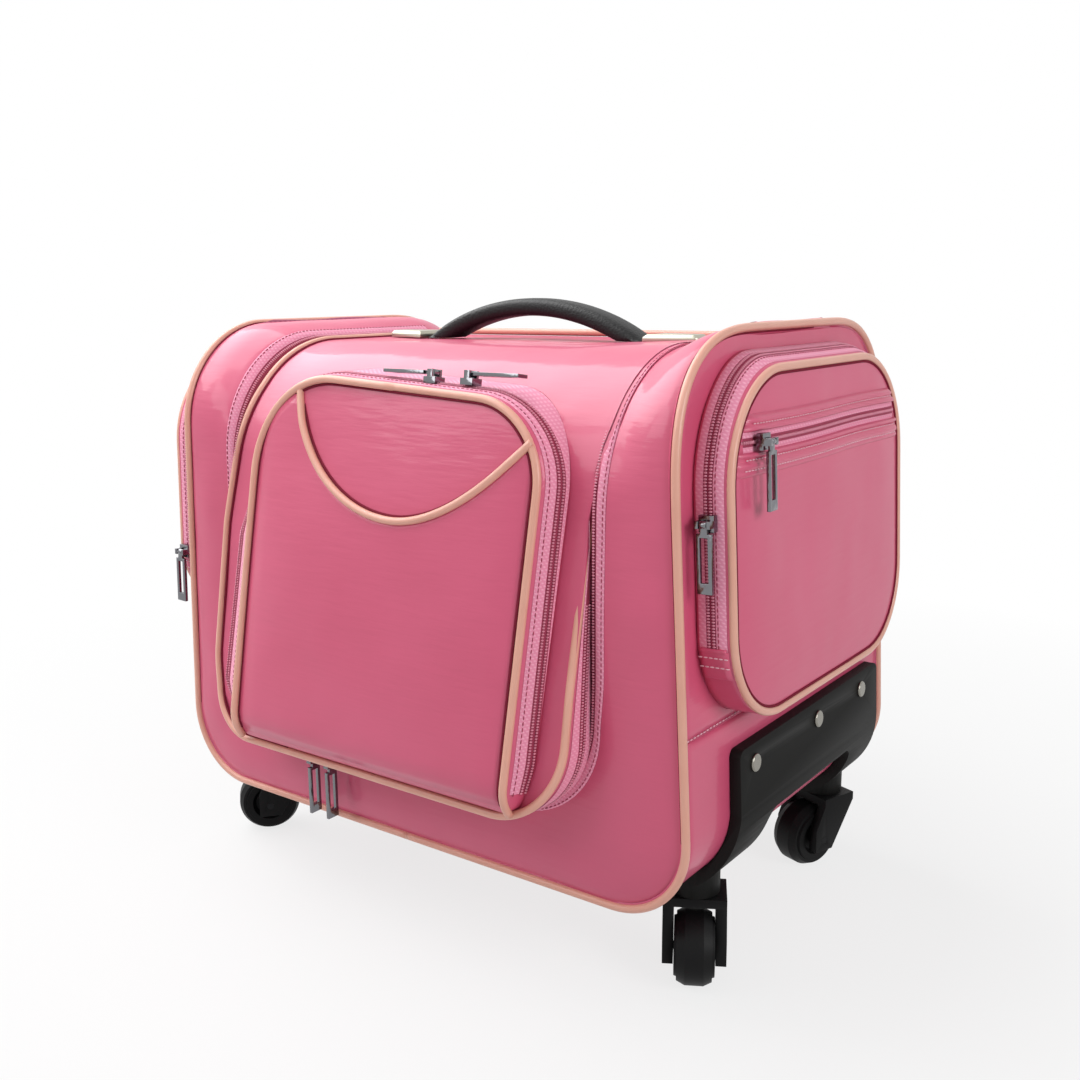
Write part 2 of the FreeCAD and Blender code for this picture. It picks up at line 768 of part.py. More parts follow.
def end_pocket(face_out):
    """Panel with its zip end tabs, piping and zip tape of an end pocket of a given depth."""
    edge = tube(end_pocket_outline(piping_inset, face_out).OrderedEdges, piping_radius)
    body = prism(end_pocket_outline(0, d.soft_gap), Vector(face_out - d.soft_gap, 0, 0))
    room = prism(end_pocket_outline(d.gusset_wall, 0), Vector(face_out - d.gusset_wall, 0, 0))
    crown = Part.makeLoft([
        end_pocket_outline(piping_inset, face_out),
        end_pocket_outline(d.end_pocket_crown_inset, face_out + d.end_pocket_crown)], True, True)
    panel = body.cut(room).fuse(crown).removeSplitter().cut(edge)
    tape_out = (face_out - d.end_tape_width) / 2
    tape = prism(end_pocket_outline(-d.tape_thickness, tape_out), Vector(d.end_tape_width, 0, 0)).cut(
        prism(end_pocket_outline(0, 0), Vector(face_out, 0, 0))).common(
        box(Vector(-beyond, -beyond, d.end_tape_start), far_high))
    tab = box(
        Vector(tape_out, -end_half - d.end_tab_thickness, d.end_tape_start - d.end_tab_height),
        Vector(tape_out + d.end_tape_width, -end_half, d.end_tape_start))
    other_tab = tab.mirror(Vector(0, 0, 0), Vector(0, 1, 0))
    return Part.makeCompound([panel, tab, other_tab]), edge, tape


for side, frame, reach in (
        ("right", right_frame, d.end_pocket_depth), ("left", left_frame, d.left_pocket_depth)):
    panel_and_tabs, end_edge, end_tape = end_pocket(reach)
    keep(f"{side}_pocket_panel", panel_and_tabs, frame)
    keep(f"{side}_pocket_piping", end_edge, frame)
    keep(f"{side}_pocket_zip_tape", end_tape, frame)
crown_out = d.end_pocket_depth + d.end_pocket_crown
slit_low = d.slit_rise - d.slit_height / 2
slit = box(
    Vector(crown_out, -d.slit_length / 2, slit_low),
    Vector(crown_out + d.tape_thickness, d.slit_length / 2, slit_low + d.slit_height))
keep("right_slit_zip", slit, right_frame)

# Zip sliders and their pulls: a slider stands on local +Z and its pull lies along local +X

EYE_RADIUS = "(Sizes.slider_pin_diameter / 2 + Sizes.pull_thickness / 2)"
PIN_HEIGHT = "(Sizes.slider_height + Sizes.soft_gap + " + EYE_RADIUS + ")"
pin_height = amount(PIN_HEIGHT)


def zip_slider(label, frame):
    """Slider body with two lugs and the pin that carries the pull."""
    body = new_body(label, frame)
    block = new_sketch(body, label + "_block", "XY_Plane")
    half_length = "Sizes.slider_length / 2"
    half_width_text = "Sizes.slider_width / 2"
    draw_outline(block, [
        ("-" + half_length, "-" + half_width_text),
        (half_length, "-" + half_width_text),
        (half_length, half_width_text),
        ("-" + half_length, half_width_text),
    ])
    pad(body, block, "Sizes.slider_height")
    lugs = new_sketch(body, label + "_lugs", "XY_Plane")
    inner = "Sizes.slider_width / 2 - Sizes.slider_lug"
    for low, high in ((inner, half_width_text), ("-(" + half_width_text + ")", "-(" + inner + ")")):
        draw_outline(lugs, [
            ("-Sizes.slider_pin_diameter", low),
            ("Sizes.slider_pin_diameter", low),
            ("Sizes.slider_pin_diameter", high),
            ("-Sizes.slider_pin_diameter", high),
        ])
    pad(body, lugs, PIN_HEIGHT + " + Sizes.slider_pin_diameter")
    pin = new_sketch(body, label + "_pin", "XZ_Plane")
    draw_circle(pin, "0", PIN_HEIGHT, "Sizes.slider_pin_diameter / 2")
    pad(body, pin, "Sizes.slider_width - Sizes.slider_lug", midplane=True)


def zip_pull(label, frame, angle):
    """Flat open frame with an eye on the slider's pin, turned to its resting angle."""
    rest = Placement(Vector(0, 0, pin_height), Rotation(Vector(0, 1, 0), angle))
    body = new_body(label, frame * rest)
    eye_width = "(Sizes.slider_width - 2 * Sizes.slider_lug - 2 * Sizes.soft_gap)"
    eye = new_sketch(body, label + "_eye", "XZ_Plane")
    draw_circle(eye, "0", "0", EYE_RADIUS)
    pad(body, eye, eye_width, midplane=True)
    plate_sketch = new_sketch(body, label + "_plate", "XY_Plane")
    neck = "Sizes.pull_neck"
    draw_outline(plate_sketch, [
        ("0", "-" + eye_width + " / 2"),
        (neck, "-" + eye_width + " / 2"),
        (neck, "-Sizes.pull_width / 2"),
        ("Sizes.pull_length", "-Sizes.pull_width / 2"),
        ("Sizes.pull_length", "Sizes.pull_width / 2"),
        (neck, "Sizes.pull_width / 2"),
        (neck, eye_width + " / 2"),
        ("0", eye_width + " / 2"),
    ])
    pad(body, plate_sketch, "Sizes.pull_thickness", midplane=True)
    window = new_sketch(body, label + "_window", "XY_Plane")
    inner_half = "(Sizes.pull_width / 2 - Sizes.pull_bar)"
    near = neck + " + Sizes.pull_bar"
    far = "Sizes.pull_length - Sizes.pull_foot"
    draw_outline(window, [
        (near, "-" + inner_half), (far, "-" + inner_half), (far, inner_half), (near, inner_half)])
    pocket(body, window, "Sizes.pull_length")
    bore = new_sketch(body, label + "_bore", "XZ_Plane")
    draw_circle(bore, "0", "0", "Sizes.slider_pin_diameter / 2 + Sizes.pull_fit")
    pocket(body, bore, "Sizes.pull_length")


def facing(out, along):
    """Turn that stands a slider on a surface: local +Z goes out of it and local +X lies along it."""
    return Rotation(along, out.cross(along), out, "ZXY")


main_y = -half_depth - d.flap_lean / 2
main_z = flap_low - d.tape_thickness - d.soft_gap
main_half = d.main_slider_spacing / 2
pocket_spread = d.pocket_slider_spacing / 2
left_out = d.left_pocket_depth - d.slider_width
pocket_top = d.front_pocket_height + d.tape_thickness + d.soft_gap
tape_skin = end_half + d.tape_thickness + d.soft_gap
slit_skin = crown_out + d.tape_thickness + d.soft_gap
right_x = Vector(1, 0, 0)
back_y = Vector(0, 1, 0)
up_z = Vector(0, 0, 1)
zips = (
    ("main_left", Placement(Vector(d.main_zip_meet - main_half, main_y, main_z),
                            facing(-up_z, -right_x)), -90),
    ("main_right", Placement(Vector(d.main_zip_meet + main_half, main_y, main_z),
                             facing(-up_z, right_x)), -90),
    ("pocket_left", pocket_frame * Placement(
        Vector(d.pocket_zip_meet - pocket_spread, d.front_pocket_tape_inset * 2, pocket_top),
        facing(up_z, -right_x)), 0),
    ("pocket_right", pocket_frame * Placement(
        Vector(d.pocket_zip_meet + pocket_spread, d.front_pocket_tape_inset * 2, pocket_top),
        facing(up_z, right_x)), 0),
    ("right_pocket", right_frame * Placement(
        Vector(d.end_pocket_depth / 2, -tape_skin, d.end_slider_rise), facing(-back_y, -up_z)), 0),
    ("left_pocket", left_frame * Placement(
        Vector(left_out, tape_skin, d.left_slider_rise), facing(back_y, -up_z)), 0),
    ("slit", right_frame * Placement(
        Vector(slit_skin, d.slit_slider_inset - d.slit_length / 2, d.slit_rise),
        facing(right_x, -up_z)), 0),
)
for name, frame, angle in zips:
    zip_slider(f"{name}_slider", frame)
    zip_pull(f"{name}_pull", frame, angle)

# Wheel brackets: a plate on each end whose legs follow the lower corner round to the casters

def bracket_outline(out):
    """Side view of a bracket: plate above, two legs below, arch between them."""
    plate_top = case_low + d.bracket_top_rise
    arch_top = case_low + d.bracket_arch_rise
    bend = d.bracket_leg_width / 4
    front = d.bracket_front
    rear = d.bracket_rear
    toe = front - d.bracket_leg_flare
    waist = case_low + d.lower_corner_radius
    return rounded_wire([
        (Vector(out, front, plate_top), bend / 2),
        (Vector(out, rear, plate_top), bend / 2),
        (Vector(out, rear, 0), 0),
        (Vector(out, rear - d.bracket_leg_width, 0), 0),
        (Vector(out, rear - d.bracket_leg_width, arch_top), bend),
        (Vector(out, front + d.bracket_leg_width, arch_top), bend),
        (Vector(out, toe + d.bracket_leg_width, 0), 0),
        (Vector(out, toe, 0), 0),
        (Vector(out, front, waist), bend),
    ])


corner_skin = front_prism(-d.bracket_thickness).cut(front_prism(0))
outer_half = Vector(d.bracket_foot_half, -beyond, 0)
swivels = {
    "front_right": (d.swivel_half_width, d.swivel_front, d.front_right_yaw),
    "rear_right": (d.swivel_half_width, d.swivel_rear, d.rear_right_yaw),
    "front_left": (-d.swivel_half_width, d.swivel_front, d.front_left_yaw),
    "rear_left": (-d.swivel_half_width, d.swivel_rear, d.rear_left_yaw),
}
rivet_places = (d.rivet_front, d.rivet_middle, d.rivet_rear)
rivet_z = case_low + d.rivet_rise
plate_frame = Placement(Vector(half_width(rivet_z), 0, rivet_z), lean_in)


def rivet_shank(depth):
    spot = Vector(0, depth, 0)
    return Part.makeCylinder(d.rivet_shank_diameter / 2, d.bracket_thickness, spot, right_x)


def rivet_head(depth):
    spot = Vector(d.bracket_thickness, depth, 0)
    head = Part.makeCylinder(d.rivet_head_diameter / 2, d.rivet_head_thickness, spot, right_x)
    rim = [edge for edge in head.Edges if edge.BoundBox.XMin > d.bracket_thickness]
    return head.makeFillet(d.rivet_head_rounding, rim)


def on_plate(shape):
    return shape.transformed(plate_frame.toMatrix())


def bracket():
    """Right-hand bracket with a boss over each caster, stem bores and rivet holes."""
    body = corner_skin.common(box(outer_half, far_high)).common(
        prism(bracket_outline(0), Vector(beyond, 0, 0)))
    for depth in (d.swivel_front, d.swivel_rear):
        spot = Vector(d.swivel_half_width, depth, boss_low)
        boss = Part.makeCylinder(d.boss_diameter / 2, d.lower_corner_radius / 2, spot)
        bore = Part.makeCylinder(d.stem_diameter / 2, d.lower_corner_radius, spot)
        body = body.fuse(boss.cut(front_prism(0))).cut(bore)
    for depth in rivet_places:
        body = body.cut(on_plate(rivet_shank(depth)))
    return body.removeSplitter()


def stem(across, depth):
    """Swivel pin held in the boss, with a head below the fork's crown."""
    low = fork_top - d.crown_thickness - d.stem_head_gap
    shank = Part.makeCylinder(d.stem_diameter / 2, case_low - low, Vector(across, depth, low))
    head_low = Vector(across, depth, low - d.stem_head_thickness)
    head = Part.makeCylinder(d.stem_head_diameter / 2, d.stem_head_thickness, head_low)
    return shank.fuse(head).removeSplitter()


right_bracket = bracket()
keep("right_wheel_bracket", right_bracket)
keep("left_wheel_bracket", mirrored(right_bracket))
right_rivets = [on_plate(rivet_head(depth).fuse(rivet_shank(depth))) for depth in rivet_places]
keep("bracket_rivets", Part.makeCompound(right_rivets + [mirrored(one) for one in right_rivets]))
keep("caster_stems", Part.makeCompound([stem(across, depth) for across, depth, yaw in swivels.values()]))

# Casters: local +X is the trail, the origin is on the floor below the swivel

AXLE_Z = "Sizes.wheel_diameter / 2"
FORK_WIDTH = "(Sizes.fork_gap + 2 * Sizes.fork_leg)"
CROWN_LOW = "(Sizes.wheel_diameter + Sizes.crown_gap)"


def caster_fork(label, frame):
    """Fork: crown with the swivel bore, and two legs that trail down to the axle."""
    body = new_body(label, frame)
    side = new_sketch(body, label + "_side", "XZ_Plane")
    crown_top = CROWN_LOW + " + Sizes.crown_thickness"
    draw_outline(side, [
        ("-Sizes.crown_reach", crown_top),
        ("-Sizes.crown_reach", CROWN_LOW),
        ("Sizes.caster_trail - Sizes.fork_toe", AXLE_Z + " - Sizes.fork_toe"),
        ("Sizes.caster_trail + Sizes.fork_toe", AXLE_Z + " - Sizes.fork_toe"),
        ("Sizes.caster_trail + Sizes.fork_toe", AXLE_Z + " + Sizes.fork_toe"),
        ("Sizes.crown_reach", CROWN_LOW),
        ("Sizes.crown_reach", crown_top),
    ])
    pad(body, side, FORK_WIDTH, midplane=True)
    slot = new_sketch(body, label + "_slot", "YZ_Plane")
    draw_outline(slot, [
        ("-Sizes.fork_gap / 2", "0"), ("Sizes.fork_gap / 2", "0"),
        ("Sizes.fork_gap / 2", CROWN_LOW), ("-Sizes.fork_gap / 2", CROWN_LOW)])
    pocket(body, slot, "4 * Sizes.wheel_diameter")
    stem_bore = new_sketch(body, label + "_stem_bore", "XY_Plane")
    draw_circle(stem_bore, "0", "0", "Sizes.stem_diameter / 2 + Sizes.stem_fit")
    pocket(body, stem_bore, "4 * Sizes.wheel_diameter")
    axle_bore = new_sketch(body, label + "_axle_bore", "XZ_Plane")
    draw_circle(axle_bore, "Sizes.caster_trail", AXLE_Z, "Sizes.axle_diameter / 2")
    pocket(body, axle_bore, "4 * Sizes.wheel_diameter")


def caster_wheel(label, frame):
    """Wheel with a rounded tread and dished sides, turned about its axle."""
    body = new_body(label, frame)
    half = new_sketch(body, label + "_half", "XY_Plane")
    rim = "Sizes.wheel_diameter / 2"
    side = "Sizes.wheel_width / 2"
    bore = "Sizes.axle_diameter / 2 + Sizes.axle_fit"
    hub = "Sizes.hub_diameter / 2"
    face = "(" + side + " - Sizes.hub_dish)"
    shoulder = "(" + side + " - Sizes.wheel_round)"
    draw_outline(half, [
        (bore, "-" + side),
        ("Sizes.hub_boss_tip", "-" + side),
        ("Sizes.hub_boss_radius", "-" + face),
        (hub, "-" + face),
        (hub + " + Sizes.hub_dish", "-" + side),
        (rim + " - Sizes.wheel_round / 2", "-" + side),
        (rim, "-" + shoulder),
        (rim, shoulder),
        (rim + " - Sizes.wheel_round / 2", side),
        (hub + " + Sizes.hub_dish", side),
        (hub, face),
        ("Sizes.hub_boss_radius", face),
        ("Sizes.hub_boss_tip", side),
        (bore, side),
    ])
    turned = body.newObject("PartDesign::Revolution", label + "_turned")
    turned.Profile = half
    turned.ReferenceAxis = (half, ["V_Axis"])
    turned.Angle = 360


for name, (across, depth, yaw) in swivels.items():
    swivel_frame = Placement(Vector(across, depth, 0), Rotation(Vector(0, 0, 1), yaw))
    axle_frame = swivel_frame * Placement(Vector(d.caster_trail, 0, d.wheel_diameter / 2), Rotation())
    caster_fork(f"{name}_fork", swivel_frame)
    caster_wheel(f"{name}_wheel", axle_frame)
    axle = doc.addObject("Part::Cylinder", f"{name}_axle")
    bind(axle, {"Radius": "Sizes.axle_diameter / 2", "Height": FORK_WIDTH})
    fork_half = d.fork_gap / 2 + d.fork_leg
    axle.Placement = case_frame * axle_frame * Placement(
        Vector(0, fork_half, 0), Rotation(Vector(1, 0, 0), 90))
    subparts.append(axle)

# Pull-out trolley handle on the back: fixed tubes in a housing, a middle stage and an inner stage

housing_low = case_low + d.housing_low_rise
housing_top = case_low + d.housing_top_rise
tube_y = half_depth + d.housing_depth / 2


def tube_pair(width, depth, low, high, wall):
    """Two upright tubes side by side; a wall of nought makes solid bars."""
    pair = []
    for centre in (-d.tube_spacing / 2, d.tube_spacing / 2):
        corner = Vector(centre - width / 2, tube_y - depth / 2, low)
        bar = Part.makeBox(width, depth, high - low, corner)
        if wall > 0:
            room = Part.makeBox(
                width - 2 * wall, depth - 2 * wall, high - low, corner + Vector(wall, wall, 0))
            bar = bar.cut(room)
        pair.append(bar)
    return Part.makeCompound(pair)


slim = 2 * (d.tube_wall + d.tube_fit)
middle_width = d.tube_width - slim
middle_depth = d.tube_depth - slim
inner_width = middle_width - slim
inner_depth = middle_depth - slim
housing = box(
    Vector(-d.housing_width / 2, half_depth, housing_low),
    Vector(d.housing_width / 2, half_depth + d.housing_depth, housing_top))
for channel in tube_pair(d.tube_width, d.tube_depth, housing_low, housing_top, 0).Solids:
    housing = housing.cut(channel)
upright = [edge for edge in housing.Edges
           if edge.BoundBox.YMin > half_depth + d.housing_depth - edge_slack
           and edge.BoundBox.XLength < edge_slack]
keep("trolley_housing", housing.makeChamfer(d.tube_step, upright))
keep("trolley_outer_tubes", tube_pair(d.tube_width, d.tube_depth, housing_low, housing_top, d.tube_wall))
middle_top = housing_top + d.tube_step
inner_top = middle_top + d.tube_step
keep("trolley_middle_tubes", tube_pair(
    middle_width, middle_depth, housing_low + d.tube_step, middle_top, d.tube_wall))
keep("trolley_inner_tubes", tube_pair(
    inner_width, inner_depth, housing_low + 2 * d.tube_step, inner_top, 0))

grip = new_body("trolley_grip", Placement(Vector(0, tube_y, inner_top), Rotation()))
grip_side = new_sketch(grip, "trolley_grip_side", "XZ_Plane")
GRIP_HALF = "Sizes.trolley_grip_width / 2"
draw_outline(grip_side, [
    ("-" + GRIP_HALF, "0"), (GRIP_HALF, "0"),
    (GRIP_HALF, "Sizes.trolley_grip_height"), ("-" + GRIP_HALF, "Sizes.trolley_grip_height")])
grip_pad = pad(grip, grip_side, "Sizes.trolley_grip_depth", midplane=True)
doc.recompute()
grip_round = grip.newObject("PartDesign::Fillet", "trolley_grip_round")
upper_edges = []
for number, edge in enumerate(grip_pad.Shape.Edges, start=1):
    extent = edge.BoundBox
    if extent.ZLength > edge_slack or extent.XLength > edge_slack and extent.ZMin > edge_slack:
        upper_edges.append(f"Edge{number}")
grip_round.Base = (grip_pad, upper_edges)
grip_round.setExpression("Radius", "Sizes.trolley_grip_rounding")
well = new_sketch(grip, "trolley_grip_well", "XZ_Plane")
WELL_HALF = "(Sizes.button_length / 2 + Sizes.button_fit)"
WELL_LOW = "Sizes.trolley_grip_height - Sizes.button_depth - Sizes.button_travel"
draw_outline(well, [
    ("-" + WELL_HALF, WELL_LOW), (WELL_HALF, WELL_LOW),
    (WELL_HALF, "2 * Sizes.trolley_grip_height"), ("-" + WELL_HALF, "2 * Sizes.trolley_grip_height")])
pocket(grip, well, "Sizes.button_width + 2 * Sizes.button_fit")

button_low = inner_top + d.trolley_grip_height - d.button_depth
button = doc.addObject("Part::Box", "trolley_button")
bind(button, {
    "Length": "Sizes.button_length",
    "Width": "Sizes.button_width",
    "Height": "Sizes.button_depth + Sizes.button_stand",
})
button.Placement = case_frame * Placement(
    Vector(-d.button_length / 2, tube_y - d.button_width / 2, button_low), Rotation())
subparts.append(button)

doc.recompute()
for item in doc.Objects:
    if "Invalid" in item.State or "Error" in item.State:
        raise RuntimeError(f"{item.Label} failed: {item.State}")
for piece in subparts:
    if piece.Shape.isNull() or not piece.Shape.isValid() or not piece.Shape.Solids:
        raise RuntimeError(f"{piece.Label} has no sound solid")
os.makedirs("parts", exist_ok=True)
for piece in subparts:
    piece.Shape.exportStep(f"parts/{piece.Label}.step")
print(len(subparts), "sub-parts written")
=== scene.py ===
# %% [markdown]
# # A soft makeup train case
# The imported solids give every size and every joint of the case. This lesson sews the soft skin over them:
# glossy panels, piping, zips and stitches. Hard parts keep their solids and get rounder edges and finishes.
# The frame is loaded first, because each piece is placed by it and rides on one of its bodies.

# %% Load the frame
import json
import math
from contextlib import contextmanager

import bmesh
import bpy
import numpy as np
from mathutils import Matrix, Vector

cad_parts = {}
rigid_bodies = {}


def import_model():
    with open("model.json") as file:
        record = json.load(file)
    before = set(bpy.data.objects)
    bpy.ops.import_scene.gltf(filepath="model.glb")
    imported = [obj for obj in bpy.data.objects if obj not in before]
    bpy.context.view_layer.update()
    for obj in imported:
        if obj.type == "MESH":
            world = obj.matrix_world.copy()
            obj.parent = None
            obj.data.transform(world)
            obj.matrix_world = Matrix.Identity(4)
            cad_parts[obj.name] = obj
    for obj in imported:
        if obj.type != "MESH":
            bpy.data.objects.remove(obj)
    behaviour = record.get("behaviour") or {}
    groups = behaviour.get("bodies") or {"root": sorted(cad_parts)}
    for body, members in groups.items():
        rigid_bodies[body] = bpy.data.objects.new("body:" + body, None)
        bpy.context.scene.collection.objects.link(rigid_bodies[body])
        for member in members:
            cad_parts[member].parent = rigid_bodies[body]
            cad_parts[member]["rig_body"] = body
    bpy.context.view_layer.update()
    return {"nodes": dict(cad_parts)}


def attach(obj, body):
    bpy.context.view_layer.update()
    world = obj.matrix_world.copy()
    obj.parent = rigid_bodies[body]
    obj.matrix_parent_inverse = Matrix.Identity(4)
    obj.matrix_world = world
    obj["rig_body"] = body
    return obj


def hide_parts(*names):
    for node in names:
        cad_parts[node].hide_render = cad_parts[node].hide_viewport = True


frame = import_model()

scene = bpy.context.scene


def put(name, data):
    """A new object of the scene, at the origin."""
    item = bpy.data.objects.new(name, data)
    scene.collection.objects.link(item)
    return item


# %% [markdown]
# ## Camera
# The photograph was taken from the front right, a little above the top of the case. The camera's place and
# turn were solved from points of the case that show in it.

# %% Camera at the photograph's angle
YAW, PITCH, ROLL = (math.radians(angle) for angle in (36.37, 11.75, -0.60))
CAMERA_PLACE = (0.5044, -0.6631, 0.4074)
FOCAL_PIXELS = 1209.5
IMAGE_PIXELS = 1080
SENSOR = 36
forward = Vector((-math.sin(YAW) * math.cos(PITCH), math.cos(YAW) * math.cos(PITCH), -math.sin(PITCH)))
level = Vector((math.cos(YAW), math.sin(YAW), 0))
upright = level.cross(forward)
camera_right = level * math.cos(ROLL) + upright * math.sin(ROLL)
camera_up = upright * math.cos(ROLL) - level * math.sin(ROLL)
lens = bpy.data.cameras.new("photo_camera")
lens.sensor_fit = "HORIZONTAL"
lens.sensor_width = SENSOR
lens.lens = SENSOR * FOCAL_PIXELS / IMAGE_PIXELS
turn = Matrix((camera_right, camera_up, -forward)).transposed().to_4x4()
scene.camera = put("photo_camera", lens)
scene.camera.matrix_world = Matrix.Translation(CAMERA_PLACE) @ turn
scene.view_settings.view_transform = "Standard"
print("camera:", round(lens.lens, 2), "mm lens")

# %% [markdown]
# ## One way to add a node
# Every finish and every node tree below is built with the same small function. It sets plain settings, and
# fills each input with a value or with a link from another node. Colours are written as sRGB hex values, as
# a paint chart gives them, and turned to linear light once.

# %% Node and colour helpers
def add(tree, kind, inputs=None, **settings):
    """Add a node with settings, its inputs filled with values or links; a node gives its first output."""
    node = tree.nodes.new(kind)
    for name, value in settings.items():
        setattr(node, name, value)
    for name, value in (inputs or {}).items():
        if isinstance(value, bpy.types.Node):
            value = value.outputs[0]
        if isinstance(value, bpy.types.NodeSocket):
            tree.links.new(value, node.inputs[name])
        else:
            node.inputs[name].default_value = value
    return node


def linear(code, share=1.0):
    """Linear colour of an sRGB hex value, or a share of it."""
    parts = [int(code[place:place + 2], 16) / 255 for place in (1, 3, 5)]
    lit = [part / 12.92 if part <= 0.04045 else ((part + 0.055) / 1.055) ** 2.4 for part in parts]
    return [value * share for value in lit] + [1.0]


def per_metre(size_mm):
    """Scale of a pattern whose feature is so many millimetres across."""
    return 1000 / size_mm


def start_finish(name, values):
    """A new material of one shader with given values, its node tree, and the place on the object."""
    material = bpy.data.materials.new(name)
    material.use_nodes = True
    tree = material.node_tree
    tree.nodes.clear()
    shader = add(tree, "ShaderNodeBsdfPrincipled", values)
    add(tree, "ShaderNodeOutputMaterial", {"Surface": shader})
    return material, tree, shader, add(tree, "ShaderNodeTexCoord").outputs["Object"]


def noise(tree, spot, size_mm, detail):
    """Noise with features so many millimetres across."""
    return add(tree, "ShaderNodeTexNoise", {"Vector": spot, "Scale": per_metre(size_mm), "Detail": detail})


def tint(tree, shader, share, dark, light):
    """Colour a shader between two colours by a share."""
    mix = add(tree, "ShaderNodeMix", {0: share, 6: dark, 7: light}, data_type="RGBA")
    tree.links.new(mix.outputs[2], shader.inputs["Base Color"])


def emboss(tree, shader, height, strength, depth_mm, **under):
    """Bump a shader's surface so many millimetres deep, over another bump if one is given."""
    inputs = {"Height": height, "Strength": strength, "Distance": depth_mm / 1000, **under}
    bump = add(tree, "ShaderNodeBump", inputs)
    tree.links.new(bump.outputs[0], shader.inputs["Normal"])
    return bump


print("helpers ready")

# %% [markdown]
# ## Patent leather cloth
# The skin is polyurethane film on a woven back, pressed smooth and lacquered. The eye sees a clear coat that
# mirrors the lights, over a pink that shifts a little, with long soft waves where foam and board push through.

# %% Patent leather cloth
patent, tree, shader, spot = start_finish("lacquered_pu_leather", {
    "Roughness": 0.5, "IOR": 1.5, "Coat Weight": 0.3, "Coat Roughness": 0.08})
tint(tree, shader, noise(tree, spot, 90, 2.0), linear("#c84b6d"), linear("#d3587b"))
long_bump = emboss(tree, shader, noise(tree, spot, 42, 1.0), 0.7, 1.8)
# The cloth was rolled, which left faint level creases about 4 mm apart.
level_spot = add(tree, "ShaderNodeMapping", {"Vector": spot, "Scale": (0.14, 0.14, 1.0)})
fine_bump = emboss(tree, shader, noise(tree, level_spot, 4, 3.0), 0.6, 0.4, Normal=long_bump)
tree.links.new(fine_bump.outputs[0], shader.inputs["Coat Normal"])
print("finish:", patent.name)

# %% [markdown]
# ## Piping, lining and thread
# Piping is a plastic cord in a strip of cream leather cloth, with a satin surface. The lining is thin woven
# polyester. Thread is spun polyester, and only its colour and dull sheen show at this size.

# %% Piping, lining and thread
piping_skin, tree, shader, spot = start_finish("cream_pu_piping", {"Roughness": 0.34})
tint(tree, shader, noise(tree, spot, 30, 2.0), linear("#d99b88"), linear("#e5ae9b"))
emboss(tree, shader, noise(tree, spot, 2.5, 2.0), 0.3, 0.3)


def woven(name, dark, light, thread_mm, height_mm):
    """Plain woven cloth: two crossed sets of threads of one spacing."""
    material, tree, shader, spot = start_finish(name, {"Roughness": 0.8, "Sheen Weight": 0.08})
    scale = per_metre(thread_mm) / 20 * math.pi
    one, other = (add(tree, "ShaderNodeTexWave", {"Vector": spot, "Scale": scale, "Distortion": 0.6},
                      bands_direction=way).outputs["Fac"] for way in ("DIAGONAL", "Z"))
    cross = add(tree, "ShaderNodeMath", {0: one, 1: other}, operation="MULTIPLY")
    tint(tree, shader, cross, linear(dark), linear(light))
    emboss(tree, shader, cross, 0.6, height_mm)
    return material


def plain(name, code, roughness, grit_mm, height_mm, metallic=0.0, shine=0.5):
    """A material of one colour with a fine surface grit."""
    material, tree, shader, spot = start_finish(name, {
        "Roughness": roughness, "Metallic": metallic, "Specular IOR Level": shine})
    grit = noise(tree, spot, grit_mm, 3.0)
    tint(tree, shader, grit, linear(code, 0.88), linear(code))
    emboss(tree, shader, grit, 0.4, height_mm)
    return material


# Real zip tape has about 0.6 mm between threads; 0.9 mm is drawn, so that the weave shows at this distance.
tape_cloth = woven("polyester_zip_tape", "#e68eab", "#f3b1c7", 0.9, 0.1)
lining = woven("polyester_lining", "#b0647f", "#c98199", 1.2, 0.15)
thread_rose = plain("polyester_thread_rose", "#a23a55", 0.7, 0.5, 0.05)
thread_pale = plain("polyester_thread_pale", "#f0c2cf", 0.7, 0.5, 0.05)
coil_nylon = plain("moulded_nylon_coil", "#dc8ea4", 0.4, 1.0, 0.02)
# The bed under the coil is painted dark as the shade in the recess under the teeth.
coil_bed_shade = plain("painted_shade_under_coil", "#9a3350", 0.7, 0.6, 0.05)
# A thin dark cord of this cloth beside each piping cord is painted shade, the shade in the crease beside the
# cord.
crease_shade_paint = plain("painted_shade_in_seam_crease", "#7c2638", 0.8, 0.6, 0.05, shine=0.1)
print("finishes: piping, tape, lining, thread, coil, fold")

# %% [markdown]
# ## Metal and black plastic
# Sliders and pulls are die-cast zinc with a chrome plate: nearly a mirror. The handle plates are satin
# aluminium. Brackets, forks and the trolley are moulded plastic with a spark-eroded texture of fine grit, the
# wheels are smoother polyurethane, and the grip is embossed leather cloth.

# %% Metal and black plastic
chrome = plain("chrome_plated_zinc", "#7d7d81", 0.12, 5.0, 0.8, metallic=1.0)
satin_silver = plain("satin_aluminium", "#b9b6a6", 0.36, 0.8, 0.01, metallic=1.0)
brushed_steel = plain("zinc_plated_steel", "#c4c2b8", 0.3, 1.0, 0.02, metallic=1.0)
rivet_steel = plain("nickel_plated_rivet", "#8f8c84", 0.25, 1.5, 0.03, metallic=1.0)
axle_steel = plain("blackened_steel", "#242425", 0.4, 1.0, 0.02, metallic=1.0)
tube_metal = plain("anodised_aluminium_tube", "#a9abb0", 0.38, 0.6, 0.01, metallic=1.0)
black_plastic = plain("textured_polypropylene", "#131312", 0.6, 0.9, 0.08, shine=0.14)
caster_nylon = plain("moulded_black_nylon", "#0b0b0c", 0.55, 1.2, 0.05, shine=0.14)
wheel_plastic = plain("polyurethane_tread", "#0a0a0b", 0.5, 2.0, 0.04, shine=0.16)
board_cloth = woven("covered_base_board", "#3b3336", "#4d4448", 1.4, 0.2)

